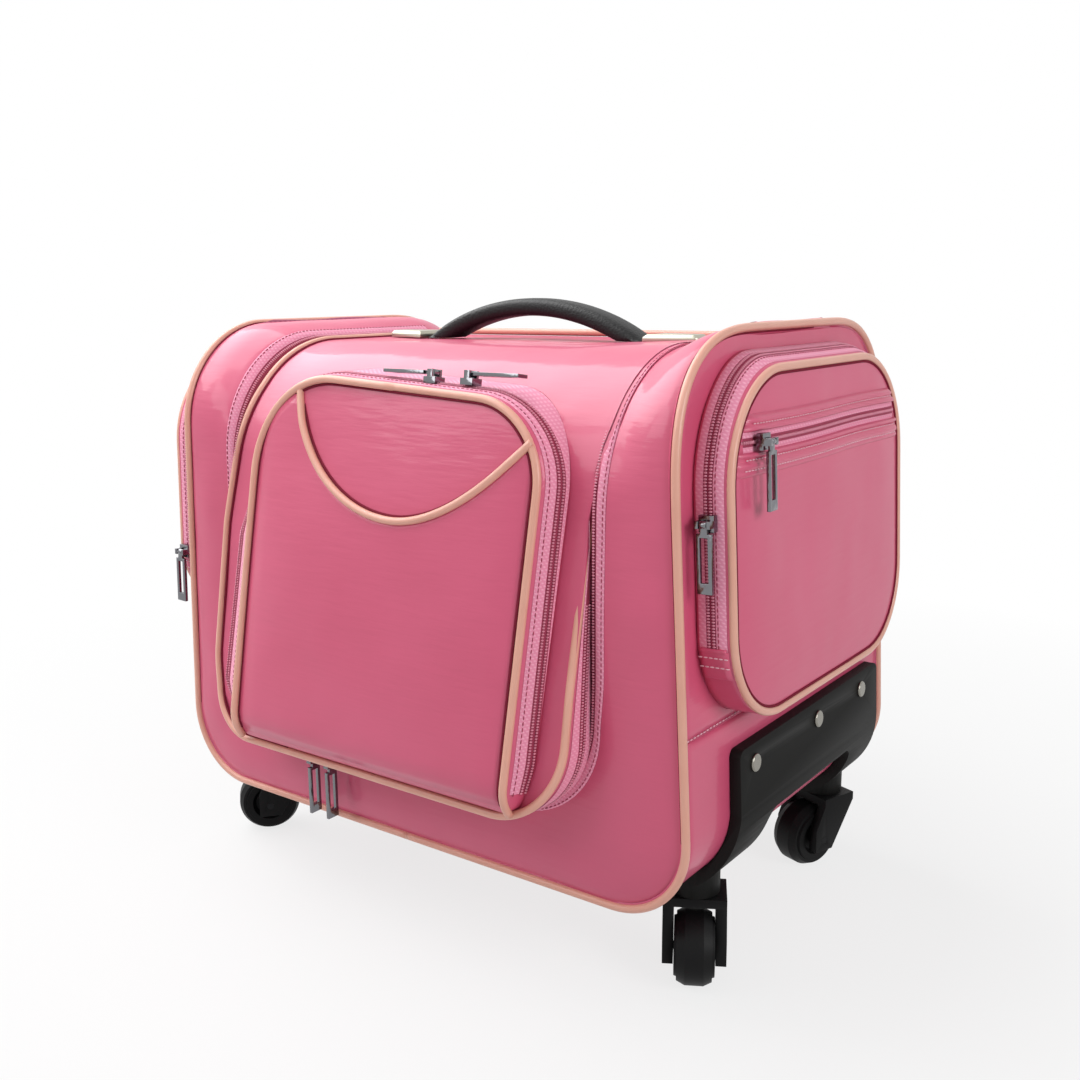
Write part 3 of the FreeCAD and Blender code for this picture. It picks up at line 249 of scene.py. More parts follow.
grip_leather, tree, shader, spot = start_finish("embossed_black_leather_cloth", {
    "Base Color": linear("#0f0f10"), "Roughness": 0.45, "Specular IOR Level": 0.25})
pebble = add(tree, "ShaderNodeTexVoronoi", {"Vector": spot, "Scale": per_metre(1.5)})
emboss(tree, shader, pebble, 0.55, 0.4)
print("finishes: metal, black plastic, grip")

# %% [markdown]
# ## Light and floor
# A white studio: one wide soft light high on the left, weaker ones above, in front and at the right end, and a
# pale floor. The world is white only to rays from the camera and in reflections; to the case it adds only a
# little light. The floor keeps a soft shadow.

# %% Light and floor
def seen_share(tree, *kinds):
    """One for rays of the given kinds, and nothing for the others."""
    path = add(tree, "ShaderNodeLightPath")
    share = path.outputs[kinds[0]]
    for kind in kinds[1:]:
        share = add(tree, "ShaderNodeMath", {0: share, 1: path.outputs[kind]}, operation="MAXIMUM")
    return share


WHITE = (1, 1, 1, 1)
world = bpy.data.worlds.new("white_studio")
world.use_nodes = True
scene.world = world
tree = world.node_tree
tree.nodes.clear()
seen = seen_share(tree, "Is Camera Ray", "Is Glossy Ray", "Is Transmission Ray")
around, bright = (add(tree, "ShaderNodeBackground", {"Color": WHITE, "Strength": strength})
                  for strength in (0.18, 1.0))
choice = add(tree, "ShaderNodeMixShader", {0: seen, 1: around, 2: bright})
add(tree, "ShaderNodeOutputWorld", {"Surface": choice})

# Each soft box has a place, a target, a size in metres and a power in watts.
soft_boxes = {
    "left_box": ((-1.05, -0.1, 1.6), (0, 0, 0.35), 1.7, 42),
    "top_box": ((0.1, -0.95, 1.7), (0, 0, 0.2), 1.2, 6),
    "front_box": ((-0.64, -1.05, 0.95), (0, -0.15, 0.33), 0.6, 4),
    "end_box": ((1.7, -0.3, 0.9), (0, 0, 0.2), 0.8, 14),
}
for name, (place, target, size, watts) in soft_boxes.items():
    data = bpy.data.lights.new(name, "AREA")
    data.size = size
    data.energy = watts
    lamp = put(name, data)
    lamp.location = place
    lamp.rotation_mode = "QUATERNION"
    lamp.rotation_quaternion = (Vector(target) - Vector(place)).to_track_quat("-Z", "Y")

FLOOR_REACH = 6
floor_mesh = bpy.data.meshes.new("studio_floor")
floor_mesh.from_pydata([(FLOOR_REACH * across, FLOOR_REACH * depth, 0)
                        for across, depth in ((-1, -1), (1, -1), (1, 1), (-1, 1))], [], [(0, 1, 2, 3)])
floor = put("studio_floor", floor_mesh)
paper, tree, shader, spot = start_finish("pale_studio_paper", {
    "Base Color": linear("#cfcfcf"), "Roughness": 0.9})
away = add(tree, "ShaderNodeVectorMath", {0: spot}, operation="LENGTH")
paler = add(tree, "ShaderNodeMapRange", {"Value": away.outputs["Value"], "From Min": 0.3, "From Max": 0.9,
                                         "To Min": 0.78, "To Max": 1.0})
seen = seen_share(tree, "Is Camera Ray", "Is Glossy Ray")
share = add(tree, "ShaderNodeMath", {0: seen, 1: paler}, operation="MULTIPLY")
glow = add(tree, "ShaderNodeEmission", {"Color": WHITE, "Strength": 1.0})
lit = add(tree, "ShaderNodeMixShader", {0: share, 1: shader, 2: glow})
output = next(node for node in tree.nodes if node.type == "OUTPUT_MATERIAL")
tree.links.new(lit.outputs[0], output.inputs["Surface"])
floor_mesh.materials.append(paper)
print("studio: four soft lights and a floor")

# %% [markdown]
# ## From sizes to meshes
# The soft pieces are written in millimetres around the middle of the case, as a pattern cutter would, and
# moved to the frame when the mesh is made. A panel is a grid of points; a cord is a ring of points carried
# along a line.

# %% Mesh helpers
MM = 0.001
SHIFT = 13.25
SIDES = ((1, "right"), (-1, "left"))
CASE_MIDDLE = (0, 0, 220)
QUARTER = math.pi / 2


def in_frame(points):
    """Points in millimetres around the case's middle, as points of the frame in metres."""
    return (np.asarray(points, float).reshape(-1, 3) + (0, SHIFT, 0)) * MM


def xyz(across, depth, height):
    """Points from their places across, in depth and in height."""
    return np.stack(np.broadcast_arrays(across, depth, height), -1)


def unit(ways):
    """Ways of a length of one."""
    return ways / (np.linalg.norm(ways, axis=-1)[..., None] + 1e-12)


def ramp(value, start, run):
    """A share that rises from nothing at a start to one over a run, backwards if the run is negative."""
    return np.clip((value - start) / run, 0, 1)


def ease_in(count):
    """Shares of a quarter turn, closer together towards its end, without the first."""
    return np.sin(np.linspace(0, 1, count)[1:] * QUARTER)


@contextmanager
def reworked(mesh):
    """Open a mesh for work on its faces, and write the result back to it."""
    work = bmesh.new()
    work.from_mesh(mesh)
    yield work
    work.to_mesh(mesh)
    work.free()


def grid_faces(rows, columns, first=0):
    """Four-sided faces of a grid of points written row by row."""
    corner = first + np.arange((rows - 1) * columns).reshape(rows - 1, columns)[:, :-1].ravel()
    return np.stack([corner, corner + 1, corner + columns + 1, corner + columns], 1).tolist()


def make_piece(name, points, faces, *finishes):
    """A smooth mesh object from points in millimetres."""
    mesh = bpy.data.meshes.new(name)
    mesh.from_pydata(in_frame(points).tolist(), [], faces)
    for finish in finishes:
        mesh.materials.append(finish)
    mesh.shade_smooth()
    return put(name, mesh)


def sew(piece, inside):
    """Merge the points of joined grids and turn all faces away from a point inside."""
    with reworked(piece.data) as work:
        bmesh.ops.remove_doubles(work, verts=work.verts, dist=0.02 * MM)
        bmesh.ops.recalc_face_normals(work, faces=work.faces)
        middle = Vector(in_frame(inside)[0])
        facing = sum(face.normal.dot(face.calc_center_median() - middle) * face.calc_area()
                     for face in work.faces)
        if facing < 0:
            bmesh.ops.reverse_faces(work, faces=work.faces)
    piece.data.shade_smooth()
    return piece


def settle(piece, body, slot, *nodes):
    """Let a piece ride on a body and let it stand for its CAD nodes; slot is not used."""
    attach(piece, body)
    if nodes:
        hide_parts(*nodes)
    return piece


def skin(name, grids, inside, body, *nodes, thickness=0.0):
    """A sewn piece of patent cloth from grids of points; a thick one is lined, its wall lying inwards."""
    faces = []
    for number, grid in enumerate(grids):
        faces += grid_faces(*grid.shape[:2], first=sum(earlier.size // 3 for earlier in grids[:number]))
    points = np.concatenate([grid.reshape(-1, 3) for grid in grids])
    piece = make_piece(name, points, faces, *((patent, lining) if thickness else (patent,)))
    sew(piece, inside)
    if thickness:
        wall = piece.modifiers.new("wall", "SOLIDIFY")
        wall.thickness = thickness * MM
        wall.offset = -1
        wall.use_even_offset = True
        wall.material_offset = 1
        wall.material_offset_rim = 0
    return settle(piece, body, "pink_pu", *nodes)


def cord(points, radius, sides=10, closed=False):
    """Points and faces of a round cord along a line."""
    line = np.asarray(points, float)
    count = len(line)
    if closed:
        ahead = np.roll(line, -1, 0) - np.roll(line, 1, 0)
    else:
        ahead = np.gradient(line, axis=0)
    ahead /= np.linalg.norm(ahead, axis=1)[:, None]
    side = np.cross(ahead[0], (0.31, 0.52, 0.79))
    rings = []
    angles = np.linspace(0, 2 * math.pi, sides, endpoint=False)
    for heading, middle in zip(ahead, line):
        side = side - heading * side.dot(heading)
        side /= np.linalg.norm(side)
        over = np.cross(heading, side)
        rings.append(middle + radius * (np.outer(np.cos(angles), side) + np.outer(np.sin(angles), over)))
    ring, step = np.mgrid[:count if closed else count - 1, :sides].reshape(2, -1)
    here, there, following = ring * sides, (ring + 1) % count * sides, (step + 1) % sides
    faces = np.stack([here + step, here + following, there + following, there + step], 1).tolist()
    if not closed:
        faces += [list(range(sides))[::-1], [(count - 1) * sides + step for step in range(sides)]]
    return np.concatenate(rings), faces


def cords(name, lines, radius, finish, body, slot, *nodes, closed=False, sides=10):
    """One piece made of several cords of the same size."""
    points = []
    faces = []
    first = 0
    for line in lines:
        ring_points, ring_faces = cord(line, radius, sides, closed)
        points.append(ring_points)
        faces += [[first + corner for corner in face] for face in ring_faces]
        first += len(ring_points)
    piece = make_piece(name, np.concatenate(points), faces, finish)
    with reworked(piece.data) as work:
        bmesh.ops.recalc_face_normals(work, faces=work.faces)
    piece.data.shade_smooth()
    return settle(piece, body, slot, *nodes)


def even_steps(points, step):
    """The same line with its points a fixed step apart."""
    line = np.asarray(points, float)
    length = np.concatenate([[0], np.cumsum(np.linalg.norm(np.diff(line, axis=0), axis=1))])
    wanted = np.linspace(0, length[-1], max(2, int(round(length[-1] / step)) + 1))
    return np.stack([np.interp(wanted, length, line[:, axis]) for axis in range(3)], 1)


def arc_points(centre, radius, start, end, count):
    """Two-dimensional points of an arc, its angles in degrees."""
    angles = np.radians(np.linspace(start, end, count))
    return np.stack([centre[0] + radius * np.cos(angles), centre[1] + radius * np.sin(angles)], 1)


print("mesh helpers ready")

# %% [markdown]
# ## Copies along a seam
# Stitches and zip teeth repeat at a fixed pitch along a line. A Geometry Nodes tree does this: it turns the
# line to a curve, spaces points along it, stands one small item on each point by the line's own way up, and
# makes the copies real. The result is turned to a plain mesh.

# %% Tree that repeats an item along a line
repeat = bpy.data.node_groups.new("repeat_along_seam", "GeometryNodeTree")
for label, kind in (("Line", "Geometry"), ("Pitch", "Float"), ("Item", "Object"), ("Finish", "Material")):
    repeat.interface.new_socket(label, in_out="INPUT", socket_type="NodeSocket" + kind)
repeat.interface.new_socket("Copies", in_out="OUTPUT", socket_type="NodeSocketGeometry")
given = add(repeat, "NodeGroupInput").outputs
curve = add(repeat, "GeometryNodeMeshToCurve", {"Mesh": given["Line"]})
spaced = add(repeat, "GeometryNodeResampleCurve", {"Curve": curve, "Length": given["Pitch"]}, mode="LENGTH")
heading = add(repeat, "GeometryNodeInputTangent")
way_up = add(repeat, "GeometryNodeInputNamedAttribute", {"Name": "way_up"}, data_type="FLOAT_VECTOR")
lying = add(repeat, "FunctionNodeAlignRotationToVector", {"Vector": heading}, axis="X")
standing = add(repeat, "FunctionNodeAlignRotationToVector", {"Rotation": lying, "Vector": way_up},
               axis="Z", pivot_axis="X")
item_shape = add(repeat, "GeometryNodeObjectInfo", {"Object": given["Item"]})
copies = add(repeat, "GeometryNodeInstanceOnPoints",
             {"Points": spaced, "Instance": item_shape.outputs["Geometry"], "Rotation": standing})
real = add(repeat, "GeometryNodeRealizeInstances", {"Geometry": copies})
painted = add(repeat, "GeometryNodeSetMaterial", {"Geometry": real, "Material": given["Finish"]})
add(repeat, "NodeGroupOutput", {"Copies": painted})
socket_names = {socket.name: socket.identifier for socket in repeat.interface.items_tree
                if socket.in_out == "INPUT"}


def bead(name, length, width, height):
    """A small rounded item, its length along X and its height along Z, in millimetres."""
    mesh = bpy.data.meshes.new(name)
    with reworked(mesh) as work:
        bmesh.ops.create_icosphere(work, subdivisions=2, radius=0.5 * MM)
        bmesh.ops.scale(work, vec=(length, width, height), verts=work.verts)
    mesh.shade_smooth()
    return put(name, mesh)


def repeat_along(name, runs, pitch, item, finish, body, slot):
    """Copies of an item along runs of points, each run given with its way up at every point."""
    points = np.concatenate([in_frame(line) for line, up in runs])
    ups = np.concatenate([np.broadcast_to(up, np.shape(line)) for line, up in runs])
    edges = []
    first = 0
    for line, up in runs:
        edges += [(first + step, first + step + 1) for step in range(len(line) - 1)]
        first += len(line)
    mesh = bpy.data.meshes.new(name + "_line")
    mesh.from_pydata(points.tolist(), edges, [])
    mesh.attributes.new("way_up", "FLOAT_VECTOR", "POINT").data.foreach_set("vector", ups.ravel())
    guide = put(name + "_line", mesh)
    modifier = guide.modifiers.new("copies", "NODES")
    modifier.node_group = repeat
    for label, value in (("Pitch", pitch * MM), ("Item", item), ("Finish", finish)):
        modifier[socket_names[label]] = value
    evaluated = guide.evaluated_get(bpy.context.evaluated_depsgraph_get())
    result = bpy.data.meshes.new_from_object(evaluated)
    result.name = name
    guide.modifiers.remove(modifier)
    bpy.data.objects.remove(guide)
    return settle(put(name, result), body, slot)


stitch = bead("stitch_item", 2.6, 0.8, 0.7)
tooth = bead("tooth_item", 1.25, 2.1, 1.3)
print("repeat tree:", len(repeat.nodes), "nodes")

# %% [markdown]
# ## The wrap: front, top and back in one
# One long panel makes the front, the top and the back. Near each end it swells into a soft roll, and in the
# middle it lies lower, under the flap. The right roll has sagged more than the left one. A section through the
# case is written as a rule of the place across, and the panel is the grid of those sections. The flap's opening
# is left out of the grid.

# %% Rule of the case's section
LOW = 60.0
TOP = 373.0
DEPTH = 140.0
FOOT_HALF = 208.0
TAPER = 15.5 / 325
SLOPE = math.atan(TAPER)
OPEN_HALF = 144.5
TOP_HALF = 192.5
MARK = 200.0
FOLD_Y = 62.0
CORNER = 48.0
CORNER_X = FOOT_HALF - CORNER * math.tan(math.pi / 4 + SLOPE / 2)
CORNER_SIDE_Z = LOW + CORNER + CORNER * math.sin(SLOPE)
BULGE = 5.0
SQUARE = 2.8
MIDDLE_BEND = 88.0
END_TOP = TOP + 12.0
END_FRONT = {1: MIDDLE_BEND + 7.0, -1: MIDDLE_BEND - 20.0}
END_REAR = MIDDLE_BEND - 8.0
END_POWER = {1: SQUARE, -1: 2.0}
ROLL_HUMP = 8.0
BULGE_RUN = (2.6, -1.2)
BOARD_WALL = 3.5


def half_width(height):
    """Half the width of the case at a height."""
    return FOOT_HALF - (height - LOW) * TAPER


def section(across):
    """Height, front radius, rear radius and both corners' powers at a place across; left is negative."""
    across = np.asarray(across, float)
    share = np.clip((np.abs(across) - OPEN_HALF) / (TOP_HALF - OPEN_HALF), 0, 1)
    ease = share * share * (3 - 2 * share)
    quick = 1 - (1 - share) ** 3
    on_right = across > 0
    rise = np.where(on_right, ease, quick)
    ceiling = TOP + (END_TOP - TOP) * rise + ROLL_HUMP * share * share * (1 - share)
    front = MIDDLE_BEND + (np.where(on_right, END_FRONT[1], END_FRONT[-1]) - MIDDLE_BEND) * rise
    squarer = 2 + (SQUARE - 2) * ease
    rear = MIDDLE_BEND + (END_REAR - MIDDLE_BEND) * ease
    return ceiling, front, rear, np.where(on_right, squarer, 2), squarer


def wrap_point(across, place):
    """Point of the wrap: place runs from 0 at the front's foot to 7 at the back's foot."""
    across, place = np.broadcast_arrays(np.asarray(across, float), np.asarray(place, float))
    ceiling, front, rear, front_power, rear_power = section(across)
    part = np.clip(np.floor(place).astype(int), 0, 6)
    share = place - part
    bend = share * QUARTER
    depth = np.choose(part, [
        -DEPTH + 0 * share,
        -DEPTH + 0 * share,
        -DEPTH + front * (1 - np.cos(bend) ** (2 / front_power)),
        -DEPTH + front + (2 * DEPTH - front - rear) * share,
        DEPTH - rear + rear * np.sin(bend) ** (2 / rear_power),
        DEPTH + 0 * share,
        DEPTH + 0 * share,
    ])
    height = np.choose(part, [
        LOW + (MARK - LOW) * share,
        MARK + (ceiling - front - MARK) * share,
        ceiling - front + front * np.sin(bend) ** (2 / front_power),
        ceiling,
        ceiling - rear + rear * np.cos(bend) ** (2 / rear_power),
        ceiling - rear + (MARK - ceiling + rear) * share,
        MARK + (LOW - MARK) * share,
    ])
    return xyz(across, depth, height)


def fold_place(across):
    """Place on the wrap where the flap's fold lies."""
    rear, power = section(across)[2], section(across)[4]
    return 4 + np.arcsin(((FOLD_Y - DEPTH + rear) / rear) ** (power / 2)) / QUARTER


def seam_across(place, side):
    """Half the width of the wrap at a place, out to the seam on one side."""
    across = TOP_HALF
    for _ in range(6):
        height = wrap_point(side * across, place)[2]
        across = half_width(height)
    if height < LOW + CORNER:
        across = min(across, CORNER_X + math.sqrt(max(0, CORNER ** 2 - (LOW + CORNER - height) ** 2)))
    return across


def ripple(points, size):
    """Depth of the soft waves in a skin at its points, between none and a size."""
    across, depth, height = points[..., 0], points[..., 1], points[..., 2]
    long_wave = np.sin(across / 23 + 1.3 * np.sin(height / 37)) * np.sin(height / 29 + depth / 41 + 0.7)
    short_wave = np.sin(across / 11 + depth / 13 + 2.1) * np.sin(height / 8 + 0.4)
    return size * (0.5 + 0.36 * long_wave + 0.14 * short_wave)


def edge_fade(rows, along, across):
    """Shares that rise from nothing at the edges of a grid to one, over a number of rows and of columns."""
    fades = []
    for count, steps in zip(rows.shape, (along, across)):
        place = np.arange(count)
        fades.append(np.clip(np.minimum(place, count - 1 - place) / steps, 0, 1))
    return np.outer(*fades)


def way_out(rows):
    """Unit way out of a grid whose rows run forward and down, and whose columns run outwards."""
    return unit(np.cross(np.gradient(rows, axis=0), np.gradient(rows, axis=1)))


def sink(rows, depth):
    """A grid sunk inwards by a depth at each point."""
    return rows - way_out(rows) * depth[..., None]


print("section in the middle:", [round(float(value), 1) for value in section(0)[:3]])

# %% [markdown]
# The strip round the flap's opening runs from the fold forward, over the front edge, down, round the lower
# corner and across, and the same back up. The opening's right lower corner is much rounder than its left one.
# Each step has a point on the opening and a point on the seam.

# %% Strip round the opening
OPEN_RADIUS = {1: 64.0, -1: 31.5}
OPEN_LOW = 108.5
upper_places = np.concatenate([np.linspace(3, 2, 21)[1:], np.linspace(2, 1, 15)[1:]])
side_shares = np.linspace(0, 1, 10)[1:]
foot_shares = np.linspace(1, 0, 25)[1:]
outer_corner = arc_points((CORNER_X, LOW + CORNER), CORNER, math.degrees(SLOPE), -90, 19)
outer_low = [(half_width(height), height) for height in MARK + (CORNER_SIDE_Z - MARK) * side_shares]
outer_low += outer_corner[1:].tolist() + [(CORNER_X * share, LOW) for share in foot_shares]
inner_low = {}
for side, bend in OPEN_RADIUS.items():
    inner_corner = arc_points((OPEN_HALF - bend, OPEN_LOW + bend), bend, 0, -90, 19)
    inner_low[side] = [(OPEN_HALF, MARK + (OPEN_LOW + bend - MARK) * share) for share in side_shares]
    inner_low[side] += inner_corner[1:].tolist()
    inner_low[side] += [((OPEN_HALF - bend) * share, OPEN_LOW) for share in foot_shares]


def strip_half(spread, side, in_mm):
    """One side's half of the strip; spread is the distance from the opening, as a share or in millimetres."""
    spread = np.asarray(spread, float)
    rows = []

    def upper_row(place_of, fade):
        """Add a row at a place of the wrap; fade is the share of the bulge."""
        width = seam_across(place_of(side * TOP_HALF), side) - OPEN_HALF
        share = spread / width if in_mm else spread
        across = side * (OPEN_HALF + width * share)
        row = wrap_point(across, place_of(across))
        row[:, 1] -= BULGE * fade * 4 * share * (1 - share)
        rows.append(row)

    for step in np.linspace(0, 1, 11):
        upper_row(lambda across: fold_place(across) + (3 - fold_place(across)) * step, 0)
    for place in upper_places:
        upper_row(lambda across: place + 0 * across, ramp(place, *BULGE_RUN))
    for inner, outer in zip(np.array(inner_low[side]), np.array(outer_low)):
        width = np.linalg.norm(outer - inner)
        share = spread / width if in_mm else spread
        flat = inner + np.outer(share, outer - inner)
        rows.append(xyz(side * flat[:, 0], -DEPTH - BULGE * 4 * share * (1 - share), flat[:, 1]))
    return np.array(rows)


def both_halves(spread, in_mm=False):
    """The strip from the fold on the right, round the front, to the fold on the left."""
    return np.concatenate([strip_half(spread, 1, in_mm), strip_half(spread, -1, in_mm)[-2::-1]])


roll_shares = np.linspace(0, 1, 17)
front_strip = both_halves(roll_shares)
under_tape = np.clip(np.minimum(roll_shares - 0.18, 1 - roll_shares) * 6, 0, 1)
from_fold = edge_fade(front_strip, 8, 1)[:, 1:2]
sunk = ripple(front_strip, 1.5) * under_tape * from_fold + 1.4 * np.clip(roll_shares * 8 - 7, 0, 1)
front_strip = sink(front_strip, sunk)
print("strip round the opening:", front_strip.shape[:2], "points")

# %% Back part of the wrap
back_places = [(fold_share, True) for fold_share in np.linspace(0, 1, 13)]
back_places += [(place, False) for place in np.concatenate([
    5 + np.linspace(0, 1, 9)[1:], 6 + np.linspace(0, 0.6, 9)[1:], 6 + 0.6 + 0.4 * ease_in(13)])]
middle_columns = np.linspace(OPEN_HALF, -OPEN_HALF, 31)[1:-1]


def back_place(across, place, from_fold):
    """Place on the wrap: a share of the way from the fold down to the back, or the place itself."""
    return fold_place(across) + (5 - fold_place(across)) * place if from_fold else place + 0 * across


back_rows = []
for place in back_places:
    roll = OPEN_HALF + (seam_across(back_place(TOP_HALF, *place), 1) - OPEN_HALF) * roll_shares[::-1]
    columns = np.concatenate([roll, middle_columns, -roll[::-1]])
    back_rows.append(wrap_point(columns, back_place(columns, *place)))
back_rows = np.array(back_rows)
back_rows = sink(back_rows, ripple(back_rows, 1.2) * edge_fade(back_rows, 6, 5))
wrap = skin("case_wrap", [front_strip, back_rows], CASE_MIDDLE, "case", "front_panel", "back_panel",
            thickness=BOARD_WALL)
print("wrap:", len(wrap.data.polygons), "faces")

# %% [markdown]
# ## Ends and base
# Each end is a stiff flat panel that leans inwards towards the top. Below a stitched seam the same cloth turns
# round the lower corner and runs under the case to the other end.

# %% End panels
END_SEAM = 166.0
END_MARK = 290.0
EDGE_DIP = 1.2


def corner_in(rise, radius, power):
    """How far a rounded corner has turned in at a rise above its start; power 2 is a circle."""
    return radius * (1 - (1 - (np.clip(rise, 0, radius) / radius) ** power) ** (1 / power))


def end_limits(height, side):
    """Front and rear edge of an end panel at a height."""
    bend = END_FRONT[side]
    return (-DEPTH + corner_in(height - (END_TOP - bend), bend, END_POWER[side]),
            DEPTH - corner_in(height - (END_TOP - END_REAR), END_REAR, SQUARE))


levels = np.concatenate([np.linspace(END_SEAM, END_MARK, 20), END_MARK + (END_TOP - END_MARK) * ease_in(26)])
for side, name in SIDES:
    rows = []
    for height in levels:
        front, rear = end_limits(height, side)
        depth = front + (rear - front) * np.linspace(0, 1, 31)
        to_edge = np.minimum.reduce([depth - front, rear - depth, np.full(31, END_TOP - height)])
        dip = EDGE_DIP * np.exp(-to_edge / 5)
        rows.append(xyz(side * (half_width(height) - dip), depth, height))
    rows = np.array(rows)
    rows[..., 0] -= side * ripple(rows, 0.9) * edge_fade(rows, 3, 3)
    skin(f"{name}_end_skin", [rows], CASE_MIDDLE, "case", f"{name}_end_panel", thickness=BOARD_WALL)
print("end panels: 2")

# %% Base
side_run = [(half_width(height), height) for height in np.linspace(END_SEAM, CORNER_SIDE_Z, 10)]
flat_run = [(across, LOW) for across in np.linspace(CORNER_X, 0, 14)[1:]]
half_run = np.array(side_run + outer_corner[1:].tolist() + flat_run)
base_run = np.concatenate([half_run, half_run[-2::-1] * (-1, 1)])
base_rows = np.array([xyz(across, np.linspace(-DEPTH, DEPTH, 29), height) for across, height in base_run])
base_rows = sink(base_rows, ripple(base_rows, 1.0) * edge_fade(base_rows, 4, 3))
base = skin("base_skin", [base_rows], CASE_MIDDLE, "case", "base_panel", thickness=BOARD_WALL)
print("base:", len(base.data.polygons), "faces")

# %% [markdown]
# ## Piping on the case's seams
# A cord follows the seam between the wrap and each end: along the base, round the lower corner, up the front,
# over the end and down the back. It is one line of points on the edge where the panels meet.

# %% Seam piping
PIPING = 2.5
CORD_STEP = 4


def piping(name, lines, body, *nodes, radius=PIPING, closed=False):
    """A piece of piping along lines of points."""
    cords(name, lines, radius, piping_skin, body, "piping", *nodes, closed=closed)


def seam_line(side):
    """One side's half of the seam, from the middle of the front's foot to the middle of the back's foot."""
    bend = END_FRONT[side]
    climb = ease_in(60)
    line = [(across, -DEPTH, LOW) for across in np.linspace(0, CORNER_X, 40)]
    line += [(across, -DEPTH, height) for across, height in outer_corner[::-1][1:]]
    for heights, edge in ((np.linspace(CORNER_SIDE_Z, END_TOP - bend, 40)[1:], 0),
                          (END_TOP - bend + bend * climb, 0),
                          (END_TOP - END_REAR + END_REAR * climb[::-1], 1),
                          (np.linspace(END_TOP - END_REAR, CORNER_SIDE_Z, 36)[1:], 1)):
        line += [(half_width(height), end_limits(height, side)[edge], height) for height in heights]
    line += [(across, DEPTH, height) for across, height in outer_corner[1:]]
    line += [(across, DEPTH, LOW) for across in np.linspace(CORNER_X, 0, 40)[1:]]
    return even_steps(np.array(line) * (side, 1, 1), CORD_STEP)


seams = [seam_line(side) for side, name in SIDES]
piping("seam_piping_cord", seams, "case", "seam_piping")
print("seam piping:", len(seams[0]), "steps on the right")

# %% [markdown]
# ## The flap
# The flap is the whole middle of the front and top, sewn as a shallow box: a face, and a narrow wall behind
# its edge that carries the zip. It leans forward at the foot. Its right lower corner is rounder than its left
# one, and its edges swell over the case's zip tape.

# %% Flap face and wall
FLAP_HALF = 143.0
FLAP_LOW = 110.0
FLAP_RADIUS = {1: 48.0, -1: 30.0}
LEFT_SWELL = 11.0
RIGHT_SWELL = 11.5
RIGHT_LIFT = 2.8
FOOT_Y = -170.0
TURN = np.array([-52.0, 285.0])
TURN_RADIUS = 88.0
LIP = 6.0
FLAP_WALL = 2.8
# Heights where a swell or a tuck starts, and the run over which it grows; a negative run lies below its start.
LEFT_RUNS = ((112, 50), (345, -90))
SHOULDER_RUN = (285, 50)
TUCK_RUN = (190, 85)
to_turn = TURN - (FOOT_Y, FLAP_LOW)
LEAN = math.atan2(to_turn[1], to_turn[0]) + math.asin(TURN_RADIUS / np.linalg.norm(to_turn))
flap_top_z = TURN[1] + TURN_RADIUS * math.cos(LEAN)


def flap_front_y(height, out=0.0):
    """Depth of the flap's face at a height, moved out by a distance."""
    height = np.asarray(height, float)
    radius = TURN_RADIUS + out
    lean_line = FOOT_Y + (height - FLAP_LOW) / math.tan(LEAN) - out / math.sin(LEAN)
    over = np.clip(radius ** 2 - (height - TURN[1]) ** 2, 0, None)
    return np.where(height < flap_top_z, lean_line, TURN[0] - np.sqrt(over))


def flap_profile():
    """Depth and height of the flap's side view from the fold to the foot, outside and inside its wall."""
    flat = np.linspace(FOLD_Y - 0.75, TURN[0], 19)
    outer = [(depth, TOP) for depth in flat]
    inner = [(depth, TOP - LIP) for depth in flat]
    last = 90 + math.degrees(LEAN)
    outer += arc_points(TURN, TURN_RADIUS, 90, last, 21)[1:].tolist()
    inner += arc_points(TURN, TURN_RADIUS - LIP, 90, last, 21)[1:].tolist()
    bend = FLAP_RADIUS[1]
    heights = [np.linspace(flap_top_z, FLAP_LOW + bend, 19)[1:], FLAP_LOW + bend - bend * ease_in(17)]
    for height in np.concatenate(heights):
        outer.append((float(flap_front_y(height)), height))
        inner.append((-DEPTH + LIP, height))
    return np.array(outer), np.array(inner)


def flap_half(height, side):
    """Half the flap's width on one side at a height."""
    bend = FLAP_RADIUS[side]
    drop = np.clip(FLAP_LOW + bend - height, 0, bend)
    return FLAP_HALF - bend + np.sqrt(bend ** 2 - drop ** 2)


def left_swell(height):
    """How far the flap's left edge swells out over the case's tape at a height."""
    return LEFT_SWELL * ramp(height, *LEFT_RUNS[0]) * ramp(height, *LEFT_RUNS[1])


def right_swell(height):
    """Share of the right edge's swell over the case's tape, which lies on the shoulder only."""
    return ramp(height, *SHOULDER_RUN)


profile, inner_profile = flap_profile()
shares = np.sin(np.linspace(-1, 1, 37) * QUARTER)
face_rows = []
for depth, height in profile:
    across = np.where(shares > 0, flap_half(height, 1), flap_half(height, -1)) * shares
    across -= left_swell(height) * np.clip(-2 * shares - 1, 0, 1)
    across += RIGHT_SWELL * right_swell(height) * np.clip(2 * shares - 1, 0, 1)
    face_rows.append(xyz(across, depth, height))
face_rows = np.array(face_rows)
face_rows = sink(face_rows, -np.outer(right_swell(profile[:, 1]), RIGHT_LIFT * np.clip(2 * shares - 1, 0, 1)))
rim = np.concatenate([face_rows[:, -1], face_rows[-1, -2:0:-1], face_rows[::-1, 0]])
right_inner, left_inner = (np.column_stack([side * flap_half(profile[:, 1], side), inner_profile])
                           for side, name in SIDES)
foot_inner = np.column_stack([face_rows[-1, -2:0:-1, 0], np.tile(inner_profile[-1], (35, 1))])
rim_inner = np.concatenate([right_inner, foot_inner, left_inner[::-1]])
wall_rows = np.stack([rim + (rim_inner - rim) * share for share in np.linspace(0, 1, 5)], 1)
face_rows = sink(face_rows, ripple(face_rows, 0.9) * edge_fade(face_rows, 5, 5))
